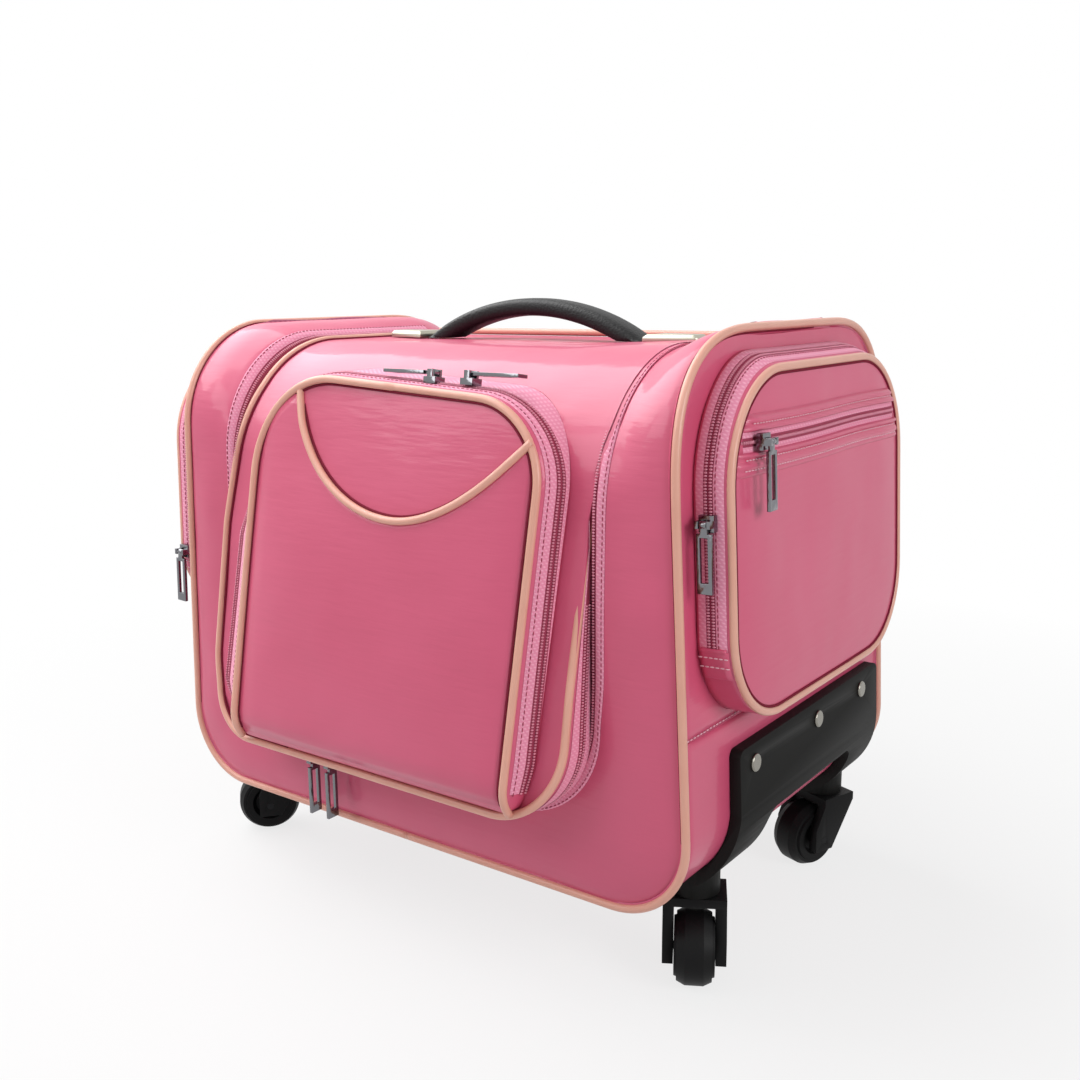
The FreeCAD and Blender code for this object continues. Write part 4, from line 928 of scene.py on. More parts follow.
flap = skin("flap_skin", [face_rows, wall_rows], (0, 0, 240), "flap", "flap_panel", thickness=FLAP_WALL)
print("flap:", len(flap.data.polygons), "faces, leaning", round(90 - math.degrees(LEAN), 2), "degrees")

# %% [markdown]
# The flap's piping follows its edge. On the right the flap has slid over the case's tape, so the piping is
# pressed in under the edge there, and sinks away gradually towards the shoulder.

# %% Flap piping
PROUD = 0.4
INSET = PIPING - PROUD
TUCK = 4.8
FOOT_PROUD = 2.5
FOLD_HALF = 135.0


def flap_edge_half(side, tuck):
    """One side's edge of the flap, from the fold to the middle of the foot, pressed in at the shoulder."""
    bend = FLAP_RADIUS[side]
    start = FLAP_LOW + bend
    line = []
    for depth, height in profile[profile[:, 1] >= start]:
        pressed = tuck * ramp(height, *TUCK_RUN)
        inward = np.array([math.sin(LEAN), -math.cos(LEAN)]) * pressed
        if height > flap_top_z:
            inward = (TURN - (min(depth, TURN[0]), height)) / TURN_RADIUS * pressed
        line.append((FLAP_HALF - INSET, depth + inward[0], height + inward[1]))
    turned = arc_points((FLAP_HALF - bend, start), bend - INSET, 0, -90, 17)
    for across, height in turned[1:]:
        line.append((across, float(flap_front_y(height)) - FOOT_PROUD * (start - height) / bend, height))
    low_y = line[-1][1]
    line += [(across, low_y, FLAP_LOW + INSET) for across in np.linspace(turned[-1][0], 0, 24)[1:]]
    return np.array(line) * (side, 1, 1)


left_edge = flap_edge_half(-1, 0)
left_edge[:, 0] -= left_swell(left_edge[:, 2])
flap_edge = even_steps(np.concatenate([flap_edge_half(1, TUCK), left_edge[-2::-1]]), CORD_STEP)
fold_line = [(across, FOLD_Y, TOP + PIPING + 0.1) for across in np.linspace(-FOLD_HALF, FOLD_HALF, 60)]
piping("flap_piping_cord", [flap_edge, fold_line], "flap", "flap_piping")
print("flap piping:", len(flap_edge), "steps")

# %% [markdown]
# ## The main zip
# The zip's one tape is sewn flat on the case round the opening, the other on the flap's wall. Each carries rows
# of nylon coil over a bed painted dark as the shade under the coil. Each half rides on its own body, so the zip
# parts when the flap opens.

# %% Main zip
TAPE = 0.9
BED_DIP = 0.6
COIL_PITCH = 1.7
COIL_STAND = 1.1
STITCH_PITCH = 3.4
STITCH_STAND = 1.0
ROWS = (-1.5, 1.5)


def ribbon(name, rows, bed, inside, body, node):
    """A zip tape from a grid of points; the columns named in bed are painted dark, as the shade under the coil.
    """
    piece = make_piece(name, rows, grid_faces(*rows.shape[:2]), tape_cloth, coil_bed_shade)
    columns = rows.shape[1] - 1
    for polygon in piece.data.polygons:
        polygon.material_index = int(polygon.index % columns in bed)
    settle(sew(piece, inside), body, "zip_tape", node)


def coil(name, runs, body):
    """Zip teeth along runs of points."""
    return repeat_along(name, runs, COIL_PITCH, tooth, coil_nylon, body, "zip_tape")


def strip_run(spread, beside, stand):
    """Line on the strip, standing off it, and its way out, which a line beside it gives."""
    rows = both_halves([spread, beside], in_mm=True)
    out = way_out(rows)[:, 0]
    return rows[:, 0] + out * stand, out


tape_rows = both_halves([0.3, 0.9, 3.9, 4.3, 6.5, 9.3, 9.8], in_mm=True)
lift = np.tile([0.3, 0.6, 0.6, TAPE, TAPE, TAPE, 0.1], (len(tape_rows), 1))
ribbon("main_zip_case_ribbon", sink(tape_rows, -lift), (0, 1), CASE_MIDDLE, "case", "main_zip_case_tape")
case_coil = coil("main_zip_case_coil", [strip_run(2.3, 2.6, COIL_STAND)], "case")
repeat_along("main_zip_stitches", [strip_run(8.6, 8.8, STITCH_STAND)], STITCH_PITCH, stitch, thread_rose, "case",
             "zip_tape")
print("case side of the main zip:", len(case_coil.data.polygons), "coil faces")

# %% Main zip on the flap
wall_line = rim[rim[:, 2] < flap_top_z - 9]
bend = np.where(wall_line[:, 0] > 0, FLAP_RADIUS[1], FLAP_RADIUS[-1])
centre_x = np.clip(wall_line[:, 0], bend - FLAP_HALF, FLAP_HALF - bend)
low_part = wall_line[:, 2] < FLAP_LOW + bend
outward = unit(xyz(np.where(low_part, wall_line[:, 0] - centre_x, wall_line[:, 0]), 0,
                   np.where(low_part, wall_line[:, 2] - FLAP_LOW - bend, 0)))
near_case = np.full(len(wall_line), -DEPTH - 0.9)
near_face = np.minimum(wall_line[:, 1] + PIPING + 0.6, near_case - 0.3)
wall_width = near_case - near_face
coil_middle = near_face + wall_width * 0.55
bed_half = np.minimum(3.2, wall_width * 0.4)


def wall_run(depth, stand):
    """Line round the flap's wall at a depth, standing off it."""
    row = wall_line + outward * stand
    row[:, 1] = depth
    return row


tape_rows = np.stack([wall_run(depth, stand) for depth, stand in (
    (near_face, 0.4), (coil_middle - bed_half, TAPE), (coil_middle, BED_DIP), (coil_middle + bed_half, TAPE),
    (near_case, TAPE))], 1)
ribbon("main_zip_flap_ribbon", tape_rows, (1, 2), CASE_MIDDLE, "flap", "main_zip_flap_tape")
wide = wall_width > 5
flap_runs = [(wall_run(coil_middle + step, COIL_STAND)[wide], outward[wide]) for step in ROWS]
coil("main_zip_flap_coil", flap_runs, "flap")
print("flap side of the main zip:", round(float(wall_width.max()), 1), "mm wide at the foot")

# %% [markdown]
# ## The front pocket
# A leaning pocket stands on the flap, deeper at its top. It is a foam-backed face with piping round it, a gusset
# with a zip over the sides and top, and a scooped slip pocket sewn over the lower part of the face. Packed full,
# it leans over to the right, and its left upper corner is rounder than its right one.

# %% Front pocket face and gusset
POCKET_HALF = 114.0
POCKET_HIGH = 238.0
POCKET_ROUND = {1: 50.0, -1: 66.0}
POCKET_FOOT_ROUND = 8.0
POCKET_TURN = math.radians(8.4)
POCKET_Y = -184.0
POCKET_Z = 118.0
POCKET_INSIDE = (0, -100, 220)
POCKET_CROWN = 8.0
POCKET_WALL = 2.2
FOOT_TURN = 9.0
FOOT_RUN = 18.0
FLARE = 7.0
LEFT_FLARE = 30.0
TOP_FLARE = 8.0
POCKET_SKEW = 0.045
POCKET_TILT = 0.056


def from_pocket(points):
    """Points of the pocket's own plane as points of the case."""
    points = np.asarray(points, float)
    across, depth, height = points[..., 0], points[..., 1], points[..., 2]
    rise = height * (1 - POCKET_TILT * across / POCKET_HIGH)
    return xyz(across + POCKET_SKEW * height,
               POCKET_Y + depth * math.cos(POCKET_TURN) + rise * math.sin(POCKET_TURN),
               POCKET_Z - depth * math.sin(POCKET_TURN) + rise * math.cos(POCKET_TURN))


def rounded_half(height, half, high, foot, head, inset=0.0):
    """Half the width of a pocket with round corners, foot and head in radius, drawn in by an inset."""
    height = np.asarray(height, float)
    low = np.clip(foot - height, 0, foot - inset)
    up = np.clip(height - (high - head), 0, head - inset)
    return np.where(height < 100, half - foot + np.sqrt((foot - inset) ** 2 - low ** 2),
                    half - head + np.sqrt((head - inset) ** 2 - up ** 2))


def pocket_half(height, side):
    """Half the front pocket's width on one side at a height in its own plane."""
    return rounded_half(height, POCKET_HALF, POCKET_HIGH, POCKET_FOOT_ROUND, POCKET_ROUND[side])


def pocket_crown(across, height):
    """How far the face stands forward of its edge."""
    side = np.abs(across) / POCKET_HALF
    up = np.abs(height / POCKET_HIGH - 0.5) * 2
    full = np.clip(1 - side ** 4, 0, 1) * np.clip(1 - up ** 2, 0, 1)
    wave = np.sin(across / 31 + 0.8) * np.sin(height / 23 + across / 60)
    return full * (POCKET_CROWN + 0.6 * wave)


def foot_back(height):
    """How far the face turns back at its foot, where it is sewn in behind the flap's piping."""
    return FOOT_TURN * np.clip(1 - np.asarray(height, float) / FOOT_RUN, 0, 1) ** 2


def on_face(across, height, stand=0.0):
    """Points of the pocket's face, standing off it."""
    return xyz(across, foot_back(height) - pocket_crown(across, height) - stand, height)


def pocket_depth(across, height):
    """Depth from the pocket's plane back to the flap."""
    depth = np.full(np.shape(height), 25.0)
    for _ in range(30):
        point = from_pocket(xyz(across, depth, height))
        depth = depth + (flap_front_y(point[..., 2], 0.2) - point[..., 1]) * 0.9
    return depth


def pocket_bend(across):
    """Radius of the upper corner on the side of each place across."""
    return np.where(across > 0, POCKET_ROUND[1], POCKET_ROUND[-1])


def pocket_hub(points):
    """Place inwards of each point of the pocket's edge: its corner's centre, or straight across or down."""
    bend = pocket_bend(points[:, 0])
    return xyz(np.clip(points[:, 0], bend - POCKET_HALF, POCKET_HALF - bend), points[:, 1],
               np.minimum(points[:, 2], POCKET_HIGH - bend))


def edge_loop(rows):
    """Closed line round the edge of a grid, from the first row's right end up, over and back."""
    return np.concatenate([rows[:, -1], rows[-1, -2:0:-1], rows[::-1, 0], rows[0, 1:-1], rows[:1, -1]])


corner_foot = POCKET_HIGH - POCKET_ROUND[-1]
pocket_levels = np.concatenate([
    POCKET_FOOT_ROUND - POCKET_FOOT_ROUND * np.cos(np.linspace(0, 1, 6) * QUARTER),
    np.linspace(POCKET_FOOT_ROUND, corner_foot, 28)[1:], corner_foot + POCKET_ROUND[-1] * ease_in(21)])
pocket_shares = np.sin(np.linspace(-1, 1, 35) * QUARTER)
rows = []
for height in pocket_levels:
    half = np.where(pocket_shares > 0, pocket_half(height, 1), pocket_half(height, -1))
    rows.append(on_face(half * pocket_shares, height))
rows = np.array(rows)
loop = edge_loop(rows)
loop_out = unit(loop - pocket_hub(loop))
spread = FLARE + (LEFT_FLARE - FLARE) * (loop[:, 0] < 0) * ramp(loop[:, 2], 190, -60)
flare = spread * loop_out[:, 0] ** 2 * ramp(loop[:, 2], 0, 30) + TOP_FLARE * loop_out[:, 2] ** 2
flared = loop + loop_out * flare[:, None]
loop_depth = pocket_depth(flared[:, 0], flared[:, 2])


def gusset_run(share, stand=0.0):
    """Line round the gusset at a share of the way from the face back to the flap, standing off it."""
    row = loop + loop_out * (flare * share + stand)[:, None]
    row[:, 1] = loop[:, 1] + (loop_depth - loop[:, 1]) * share
    return row


gusset = np.stack([gusset_run(share) for share in np.linspace(0, 1, 7)], 1)
skin("front_pocket_skin", [from_pocket(rows), from_pocket(gusset)], (0, -150, 220), "front_pocket",
     "front_pocket_panel", thickness=POCKET_WALL)
print("front pocket: gusset up to", round(float(loop_depth.max()), 1), "mm deep")

# %% [markdown]
# The slip pocket is a second layer over the face. Its upper edge falls steeply on the left and rises slowly on
# the right. It is bound with a cord whose ends run under the pocket's own piping.

# %% Scooped slip pocket
SCOOP_HALF = 108.5
SCOOP_FOOT = 5.5
SCOOP_WALL = 1.3
SCOOP_LOW = 158.5
SCOOP_MIDDLE = 13.0
LEFT_SPAN = 93.0
LEFT_RISE = 92.0
RIGHT_SPAN = 95.0
RIGHT_RISE = 60.0
NECK_LEFT = -77.5
NECK_RIGHT = 105.5
NECK_PIPING = 2.4
EDGE_INSET = 5.0
EDGE_PROUD = {1: 0.4, -1: 2.4}


def neckline(across):
    """Height of the slip pocket's edge: part of an oval on the left, a shallower arc on the right."""
    run = across - SCOOP_MIDDLE
    oval = 1 - np.sqrt(1 - np.clip(-run / LEFT_SPAN, 0, 0.98) ** 2)
    return SCOOP_LOW + LEFT_RISE * oval + RIGHT_RISE * np.clip(run / RIGHT_SPAN, 0, None) ** 2


def edge_high(across):
    """Height of the inner side of the pocket's piping at a place across it."""
    bend = pocket_bend(across)
    inside = bend - EDGE_INSET
    past = np.clip(np.abs(across) - (POCKET_HALF - bend), 0, inside)
    return POCKET_HIGH - bend + np.sqrt(inside ** 2 - past ** 2)


columns = np.linspace(-SCOOP_HALF, SCOOP_HALF, 61)
scoop_high = np.minimum(neckline(columns), edge_high(columns))
stand = 0.6 + 1.4 * np.minimum(1, (1 - np.abs(columns) / SCOOP_HALF) * 8)
scoop_rows = np.array([on_face(columns, SCOOP_FOOT + (scoop_high - SCOOP_FOOT) * share, stand)
                       for share in np.linspace(0, 1, 33)])
skin("scoop_skin", [from_pocket(scoop_rows)], POCKET_INSIDE, "front_pocket", "scoop_panel", thickness=SCOOP_WALL)

neck_across = SCOOP_MIDDLE + (NECK_LEFT - SCOOP_MIDDLE) * np.sin(np.linspace(1, 0, 60) * QUARTER)
neck_across = np.concatenate([neck_across, np.linspace(SCOOP_MIDDLE, NECK_RIGHT, 60)[1:]])
neck_z = neckline(neck_across)
sunk_end = ramp(neck_across, NECK_LEFT + 8, -8) + ramp(neck_across, NECK_RIGHT - 11, 11)
neck_line = xyz(neck_across, -pocket_crown(neck_across, neck_z) - 2.1 + 1.6 * sunk_end, neck_z)
neck_line = even_steps(neck_line, 3)
piping("scoop_piping_cord", [from_pocket(neck_line)], "front_pocket", radius=NECK_PIPING)


def pocket_edge_half(side):
    """One side's half of the pocket's edge, from its foot to the middle of its top."""
    bend = POCKET_ROUND[side]
    straight = np.linspace(0, POCKET_HIGH - bend, 60)
    line = [(POCKET_HALF - INSET, float(foot_back(height)), height) for height in straight]
    line += [(across, 0, height) for across, height in
             arc_points((POCKET_HALF - bend, POCKET_HIGH - bend), bend - INSET, 0, 90, 18)[1:]]
    line += [(across, 0, POCKET_HIGH - INSET) for across in np.linspace(POCKET_HALF - bend, 0, 20)[1:]]
    return np.array(line) * (side, 1, 1) - (0, EDGE_PROUD[side], 0)


pocket_edge = even_steps(np.concatenate([pocket_edge_half(1), pocket_edge_half(-1)[-2::-1]]), CORD_STEP)
piping("front_pocket_piping_cord", [from_pocket(pocket_edge)], "front_pocket", "front_pocket_piping")
print("slip pocket:", len(neck_line), "steps of cord on its edge")

# %% Front pocket zip
ZIP_MIDDLE = 11.8
BED_HALF = 2.9


def pocket_zip(body, run, before, middle, after, stitch_at, up, inside):
    """Tape, teeth and stitches on a gusset; run gives a line at a depth, standing off the gusset."""
    bed = [(middle - BED_HALF, TAPE), (middle, BED_DIP), (middle + BED_HALF, TAPE)]
    tape_rows = np.stack([run(depth, stand) for depth, stand in before + bed + after], 1)
    ribbon(f"{body}_zip_ribbon", tape_rows, (2, 3), inside, body, f"{body}_zip_tape")
    teeth = coil(f"{body}_zip_coil", [(run(middle + step, COIL_STAND), up) for step in ROWS], body)
    seam = [(run(stitch_at, STITCH_STAND), up)]
    repeat_along(f"{body}_stitches", seam, STITCH_PITCH, stitch, thread_rose, body, "zip_tape")
    return teeth


def zip_part(loop, low):
    """Numbers of a loop's points that lie above a height, up one side and down the other."""
    order = np.flatnonzero(loop[:, 2] > low)
    jump = np.flatnonzero(np.diff(order) > 1)
    return order[:jump[0] + 1] if len(jump) else order


zip_order = zip_part(loop, 12)
zip_up = (from_pocket(loop_out) - from_pocket((0, 0, 0)))[zip_order]


def pocket_run(depth, stand):
    """Line over the sides and top of the gusset at a depth behind the face, standing off it."""
    share = np.minimum((depth - loop[:, 1]) / (loop_depth - loop[:, 1]), 0.96)
    return from_pocket(gusset_run(share, stand)[zip_order])


pocket_coil = pocket_zip("front_pocket", pocket_run, [(2.8, 0.2), (4.0, TAPE)], ZIP_MIDDLE, [(loop_depth, 0.4)],
                         4.6, zip_up, POCKET_INSIDE)
print("front pocket zip:", len(pocket_coil.data.polygons), "coil faces")

# %% [markdown]
# ## End pockets
# A foam-backed pocket lies on each end, with a gusset as deep as a thumb is wide. The left one is packed fuller
# and hangs a little further forward. A zip runs over the front, top and rear down to a stitched tab on each
# side. The right one has a second zip between two lips on its face.

# %% End pocket shapes
END_POCKET_LOW = 168.0
END_POCKET_HALF = 122.0
END_POCKET_HIGH = 197.0
END_ROUND = 64.0
END_FOOT_ROUND = 56.0
END_CROWN = 3.0
END_FLARE = 8.0
END_REACH = {1: 21.0, -1: 28.0}
END_ZIP = {1: 9.4, -1: 16.4}
FORWARD = {1: 0.0, -1: 6.0}
GUSSET_FOOT = 0.4
END_INSIDE = 205
side_half = END_POCKET_HALF - END_ROUND
side_high = END_POCKET_HIGH - END_ROUND
foot_half = END_POCKET_HALF - END_FOOT_ROUND


def from_end(points, side):
    """Points of an end pocket's own plane as points of the case; side is 1 on the right, -1 on the left."""
    points = np.asarray(points, float)
    out, depth, height = points[..., 0], points[..., 1], points[..., 2]
    across = half_width(END_POCKET_LOW) + out * math.cos(SLOPE) - height * math.sin(SLOPE)
    return xyz(side * across, side * depth - FORWARD[side],
               END_POCKET_LOW + out * math.sin(SLOPE) + height * math.cos(SLOPE))


def end_half(height, inset=0.0):
    """Half an end pocket's width at a height above its foot."""
    return rounded_half(height, END_POCKET_HALF, END_POCKET_HIGH, END_FOOT_ROUND, END_ROUND, inset)


def end_crown(depth, height):
    """How far an end pocket's face stands out of its edge."""
    side = np.abs(depth) / np.maximum(end_half(height), 1)
    up = np.abs(height / END_POCKET_HIGH - 0.5) * 2
    full = np.clip(1 - side ** 6, 0, 1) * np.clip(1 - up ** 6, 0, 1)
    wave = np.sin(depth / 17 + height / 70) + 0.6 * np.sin(height / 21 + depth / 33 + 1.1)
    return full * (END_CROWN + 0.3 * wave)


def head_rise(height, share):
    """How far the gusset's top rises, at a share of the way from the face to the end panel."""
    return END_FLARE * share * ramp(height, side_high, END_ROUND) ** 2


quarter = np.linspace(0, 1, 21)[1:] * QUARTER
end_levels = np.concatenate([[0], END_FOOT_ROUND - END_FOOT_ROUND * np.cos(quarter),
                             np.linspace(END_FOOT_ROUND, side_high, 17)[1:],
                             side_high + END_ROUND * np.sin(quarter)])
end_shares = np.sin(np.linspace(-1, 1, 43) * QUARTER)


def end_blocks(reach):
    """Face and gusset of an end pocket of a given depth, and the loop round its face, in its own plane."""
    face = []
    for height in end_levels:
        depth = float(end_half(height)) * end_shares
        face.append(xyz(reach + end_crown(depth, height), depth, height))
    loop = edge_loop(np.array(face))
    gusset = []
    for share in np.linspace(1, 0, 6):
        ring = loop.copy()
        ring[:, 0] = GUSSET_FOOT + (reach - GUSSET_FOOT) * share
        ring[:, 2] += head_rise(loop[:, 2], 1 - share)
        gusset.append(ring)
    return np.array(face), np.stack(gusset, 1), loop


end_loop = end_blocks(END_REACH[1])[2]
end_zip = end_loop[zip_part(end_loop, 46)]
end_zip_out = unit(xyz(0, end_zip[:, 1] - np.clip(end_zip[:, 1], -side_half, side_half),
                       end_zip[:, 2] - np.minimum(end_zip[:, 2], side_high)))


def end_run(out, stand, side):
    """Line over a pocket's gusset at a distance out from the end panel, standing off it."""
    row = end_zip + end_zip_out * stand
    row[:, 0] = out
    row[:, 2] += head_rise(end_zip[:, 2], 1 - out / END_REACH[side])
    return from_end(row, side)


def end_edge(reach):
    """Line of the piping round an end pocket's face."""
    head, foot = END_ROUND - INSET, END_FOOT_ROUND - INSET
    line = np.concatenate([arc_points((foot_half, END_FOOT_ROUND), foot, -90, 0, 18),
                           arc_points((side_half, side_high), head, 0, 90, 22),
                           arc_points((-side_half, side_high), head, 90, 180, 22),
                           arc_points((-foot_half, END_FOOT_ROUND), foot, 180, 270, 18), [(foot_half, INSET)]])
    return even_steps([(reach, depth, height) for depth, height in line], CORD_STEP)[:-1]


print("end pocket rule: edge of", len(end_edge(END_REACH[1])), "steps")

# %% [markdown]
# The tab over the zip's end is a strip of the same cloth with a rolled upper edge and two rows of pale stitches.

# %% End pocket tabs
TAB_LOW = 31.0
TAB_HIGH = 48.5
TAB_STAND = 2.1
TAB_ROLL = 1.3
PLACES = (-1, 1)


def tab_points(place, reach):
    """A stitched tab over the zip's end, on the gusset's front or rear."""
    outs = np.linspace(1.6, reach - 2.0, 11)
    heights = np.linspace(TAB_LOW, TAB_HIGH, 11)
    stand = np.full((11, 11), TAB_STAND)
    stand[:, [0, -1]] = 0.3
    stand[0] = 0.2
    return np.array([[(out, place * (float(end_half(height)) + stand[row, column]), height)
                      for column, out in enumerate(outs)] for row, height in enumerate(heights)])


def tab_line(place, reach, height, stand):
    """Line across a tab at a height."""
    return xyz(np.linspace(2.6, reach - 3.0, 12), place * (float(end_half(height)) + stand), height)


print("tab:", TAB_HIGH - TAB_LOW, "mm high")

# %% End pocket pieces
for side, name in SIDES:
    body = f"{name}_pocket"
    reach = END_REACH[side]
    inside = (side * END_INSIDE, 0, 265)
    skin(f"{name}_pocket_skin", [from_end(block, side) for block in end_blocks(reach)[:2]], inside, body,
         f"{name}_pocket_panel", thickness=POCKET_WALL)
    piping(f"{name}_pocket_piping_cord", [from_end(end_edge(reach), side)], body, f"{name}_pocket_piping",
           closed=True)
    skin(f"{name}_zip_tabs", [from_end(tab_points(place, reach), side) for place in PLACES], inside, body)
    cords(f"{name}_tab_rolls", [from_end(tab_line(place, reach, TAB_HIGH, 1.2), side) for place in PLACES],
          TAB_ROLL, patent, body, "pink_pu")
    tab_runs = [(from_end(tab_line(place, reach, height, 2.3), side), (0, side * place, 0))
                for place in PLACES for height in (TAB_HIGH - 4, TAB_HIGH - 9.5)]
    repeat_along(f"{name}_tab_stitches", tab_runs, 3.0, stitch, thread_pale, body, "pink_pu")
print("end pockets: 2")

# %% End pocket zips
for side, name in SIDES:
    middle = END_ZIP[side]
    reach = END_REACH[side]
    up = end_run(10.0, 1.0, side) - end_run(10.0, 0.0, side)
    pocket_zip(f"{name}_pocket", lambda out, stand: end_run(out, stand, side), [(1.6, 0.2), (2.4, TAPE)], middle,
               [(reach - 3.6, TAPE), (reach - 2.6, 0.2)], middle + 4.2, up, (side * END_INSIDE, 0, 265))
print("end pocket zips: 2")

# %% [markdown]
# The second zip of the right pocket is set in a slit. Its upper lip is a folded welt: two soft ridges with a row
# of stitches in the dip between them. The lower lip is a thin roll, and below it lies a flatter stitched strip.
# The coil lies deeper, between the lips.

# %% Slit zip
SLIT_Z = 158.0
SLIT_HALF = 110.0
SLIT_INSIDE = (190, 0, 320)
LIP_FULLNESS = 1.6
# Each lip's outline: the height from the slit's middle and how far it stands off the face.
lip_shapes = {
    "upper": [(5.2, 0.2), (5.8, 1.9), (7.0, 2.7), (8.4, 2.1), (9.2, 1.1), (10.0, 1.2), (11.2, 2.2), (12.6, 2.0),
              (13.8, 1.0), (14.8, 0.1)],
    "lower": [(-5.2, 0.2), (-5.7, 1.7), (-6.7, 2.2), (-7.7, 1.5), (-8.5, 0.7), (-10.0, 0.7), (-11.0, 1.5),
              (-12.4, 1.8), (-13.8, 1.4), (-14.8, 0.7), (-16.0, 1.3), (-17.2, 1.1), (-18.4, 0.1)],
}
slit_across = np.linspace(-1, 1, 81)


def slit_row(rise, stand, half=None):
    """Line along the slit at a height, standing off the pocket's face and sinking into it at both ends."""
    level = SLIT_Z + rise
    limit = float(end_half(level, 5)) if half is None else half
    depth = limit * slit_across
    height = level + 0.5 * np.sin(depth / 31)
    fade = np.clip((1 - np.abs(slit_across)) * limit / 8, 0, 1) ** 0.5
    out = END_REACH[1] + end_crown(depth, height) + stand * fade - 0.6 * (1 - fade)
    return from_end(xyz(out, depth, height), 1)


for label, shape in lip_shapes.items():
    lip_rows = np.array([slit_row(rise, LIP_FULLNESS * stand) for rise, stand in shape])
    skin(f"slit_{label}_lip", [lip_rows], SLIT_INSIDE, "right_pocket")
slit_rows = np.stack([slit_row(rise, 0.5, SLIT_HALF) for rise in (-5.4, -2.4, 2.4, 5.4)], 1)
ribbon("slit_zip_ribbon", slit_rows, (1,), SLIT_INSIDE, "right_pocket", "right_slit_zip")
slit_out = (math.cos(SLOPE), 0, math.sin(SLOPE))
slit_coil = coil("slit_zip_coil", [(slit_row(0, 1.0, SLIT_HALF), slit_out)], "right_pocket")
lip_runs = [(slit_row(rise, stand)[3:-3], slit_out)
            for rise, stand in ((9.6, 2.1), (-9.2, 1.5), (-14.8, 1.5))]
repeat_along("slit_lip_stitches", lip_runs, 3.2, stitch, thread_pale, "right_pocket", "pink_pu")
print("slit zip:", len(slit_coil.data.polygons), "coil faces")

# %% [markdown]
# ## Stitches on the case
# The seam below each end panel is folded over and has one pale row of stitches above it.

# %% Case stitches
seam_z = END_SEAM + 1.8
seam_depth = np.linspace(5 - DEPTH, DEPTH - 5, 90)
seam_runs = [(xyz(side * (half_width(seam_z) + 0.3), seam_depth, seam_z), (side, 0, 0)) for side, name in SIDES]
repeat_along("end_seam_stitches", seam_runs, 3.6, stitch, thread_pale, "case", "pink_pu")
print("case stitches done")

# %% [markdown]
# ## Painted shade beside the piping
# Where a cord is sewn in, the cloth turns down beside it; the shade in that crease is painted as a thin dark
# line. The lines follow the piping, a little more than a cord's radius to one side.

# %% Painted shade lines
SHADE_LINE_RADIUS = 0.9
BESIDE = 2.9
CASE_BEND = 60.0


def shade_lines(name, lines, body, closed=False):
    """Dark lines of painted shade in the creases beside the piping, of one body."""
    cords(name, lines, SHADE_LINE_RADIUS, crease_shade_paint, body, "pink_pu", closed=closed, sides=6)


def inward_of(points, centre):
    """Unit way from points of a line to a centre of their own."""
    return unit(np.asarray(centre, float) - points)


# Each line below is painted shade in the crease beside a cord.
fold = pocket_edge + inward_of(pocket_edge, pocket_hub(pocket_edge)) * BESIDE
fold = on_face(fold[:, 0], fold[:, 2], 0.4)
along = np.gradient(neck_line, axis=0)
above = unit(xyz(-along[:, 2], 0, along[:, 0]))
neck_shade_line = (neck_line + above * 2.7 + (0, 2.0, 0))[4:-4]
shade_lines("front_pocket_folds", [from_pocket(fold[2:-2]), from_pocket(neck_shade_line)], "front_pocket")
left_part = left_edge[left_edge[:, 0] < -70]
hub = xyz(np.maximum(left_part[:, 0], FLAP_RADIUS[-1] - FLAP_HALF), left_part[:, 1],
          np.maximum(left_part[:, 2], FLAP_LOW + FLAP_RADIUS[-1]))
shade_lines("flap_folds", [left_part + inward_of(left_part, hub) * 3.0], "flap")
seam_shade_lines = []
for (side, name), line in zip(SIDES, seams):
    rising = line[(line[:, 2] > CORNER_SIDE_Z) & (line[:, 1] < 40)]
    hub = xyz(rising[:, 0], np.clip(rising[:, 1], CASE_BEND - DEPTH, 0),
              np.minimum(rising[:, 2], END_TOP - CASE_BEND))
    seam_shade_lines.append(rising + (-BESIDE * side, 0.7, -0.3))
    seam_shade_lines.append(rising + inward_of(rising, hub) * BESIDE - (0.9 * side, 0, 0))
shade_lines("case_folds", seam_shade_lines, "case")
for side, name in SIDES:
    line = end_edge(END_REACH[side])
    hub = xyz(line[:, 0], np.clip(line[:, 1], -foot_half, foot_half),
              np.clip(line[:, 2], END_FOOT_ROUND, side_high))
    fold = line + inward_of(line, hub) * BESIDE
    fold[:, 0] += end_crown(fold[:, 1], fold[:, 2]) + 0.2
    shade_lines(f"{name}_pocket_folds", [from_end(fold, side)], f"{name}_pocket", closed=True)
print("fold lines: 5 pieces")

# %% [markdown]
# ## Carry handle
# The grip is a strip of steel wrapped in foam and embossed black leather cloth. It is a rounded section carried
# along an arch. A plate of satin aluminium holds each foot.

# %% Grip
GRIP_Y = 7.0
GRIP_WIDE = 12.5
GRIP_TALL = 6.0
GRIP_SIDES = 32
GRIP_RINGS = 61
ARCH_HALF = 82.0
ARCH_CROWN = 22.0
END_SWING = 3.2
arch_radius = (ARCH_HALF ** 2 + ARCH_CROWN ** 2) / (2 * ARCH_CROWN)
arch_swing = math.degrees(math.asin(ARCH_HALF / arch_radius))
angles = np.linspace(0, 2 * math.pi, GRIP_SIDES, endpoint=False)


def squared(values, power):
    """Values of a wave with flatter sides."""
    return np.sign(values) * np.abs(values) ** power


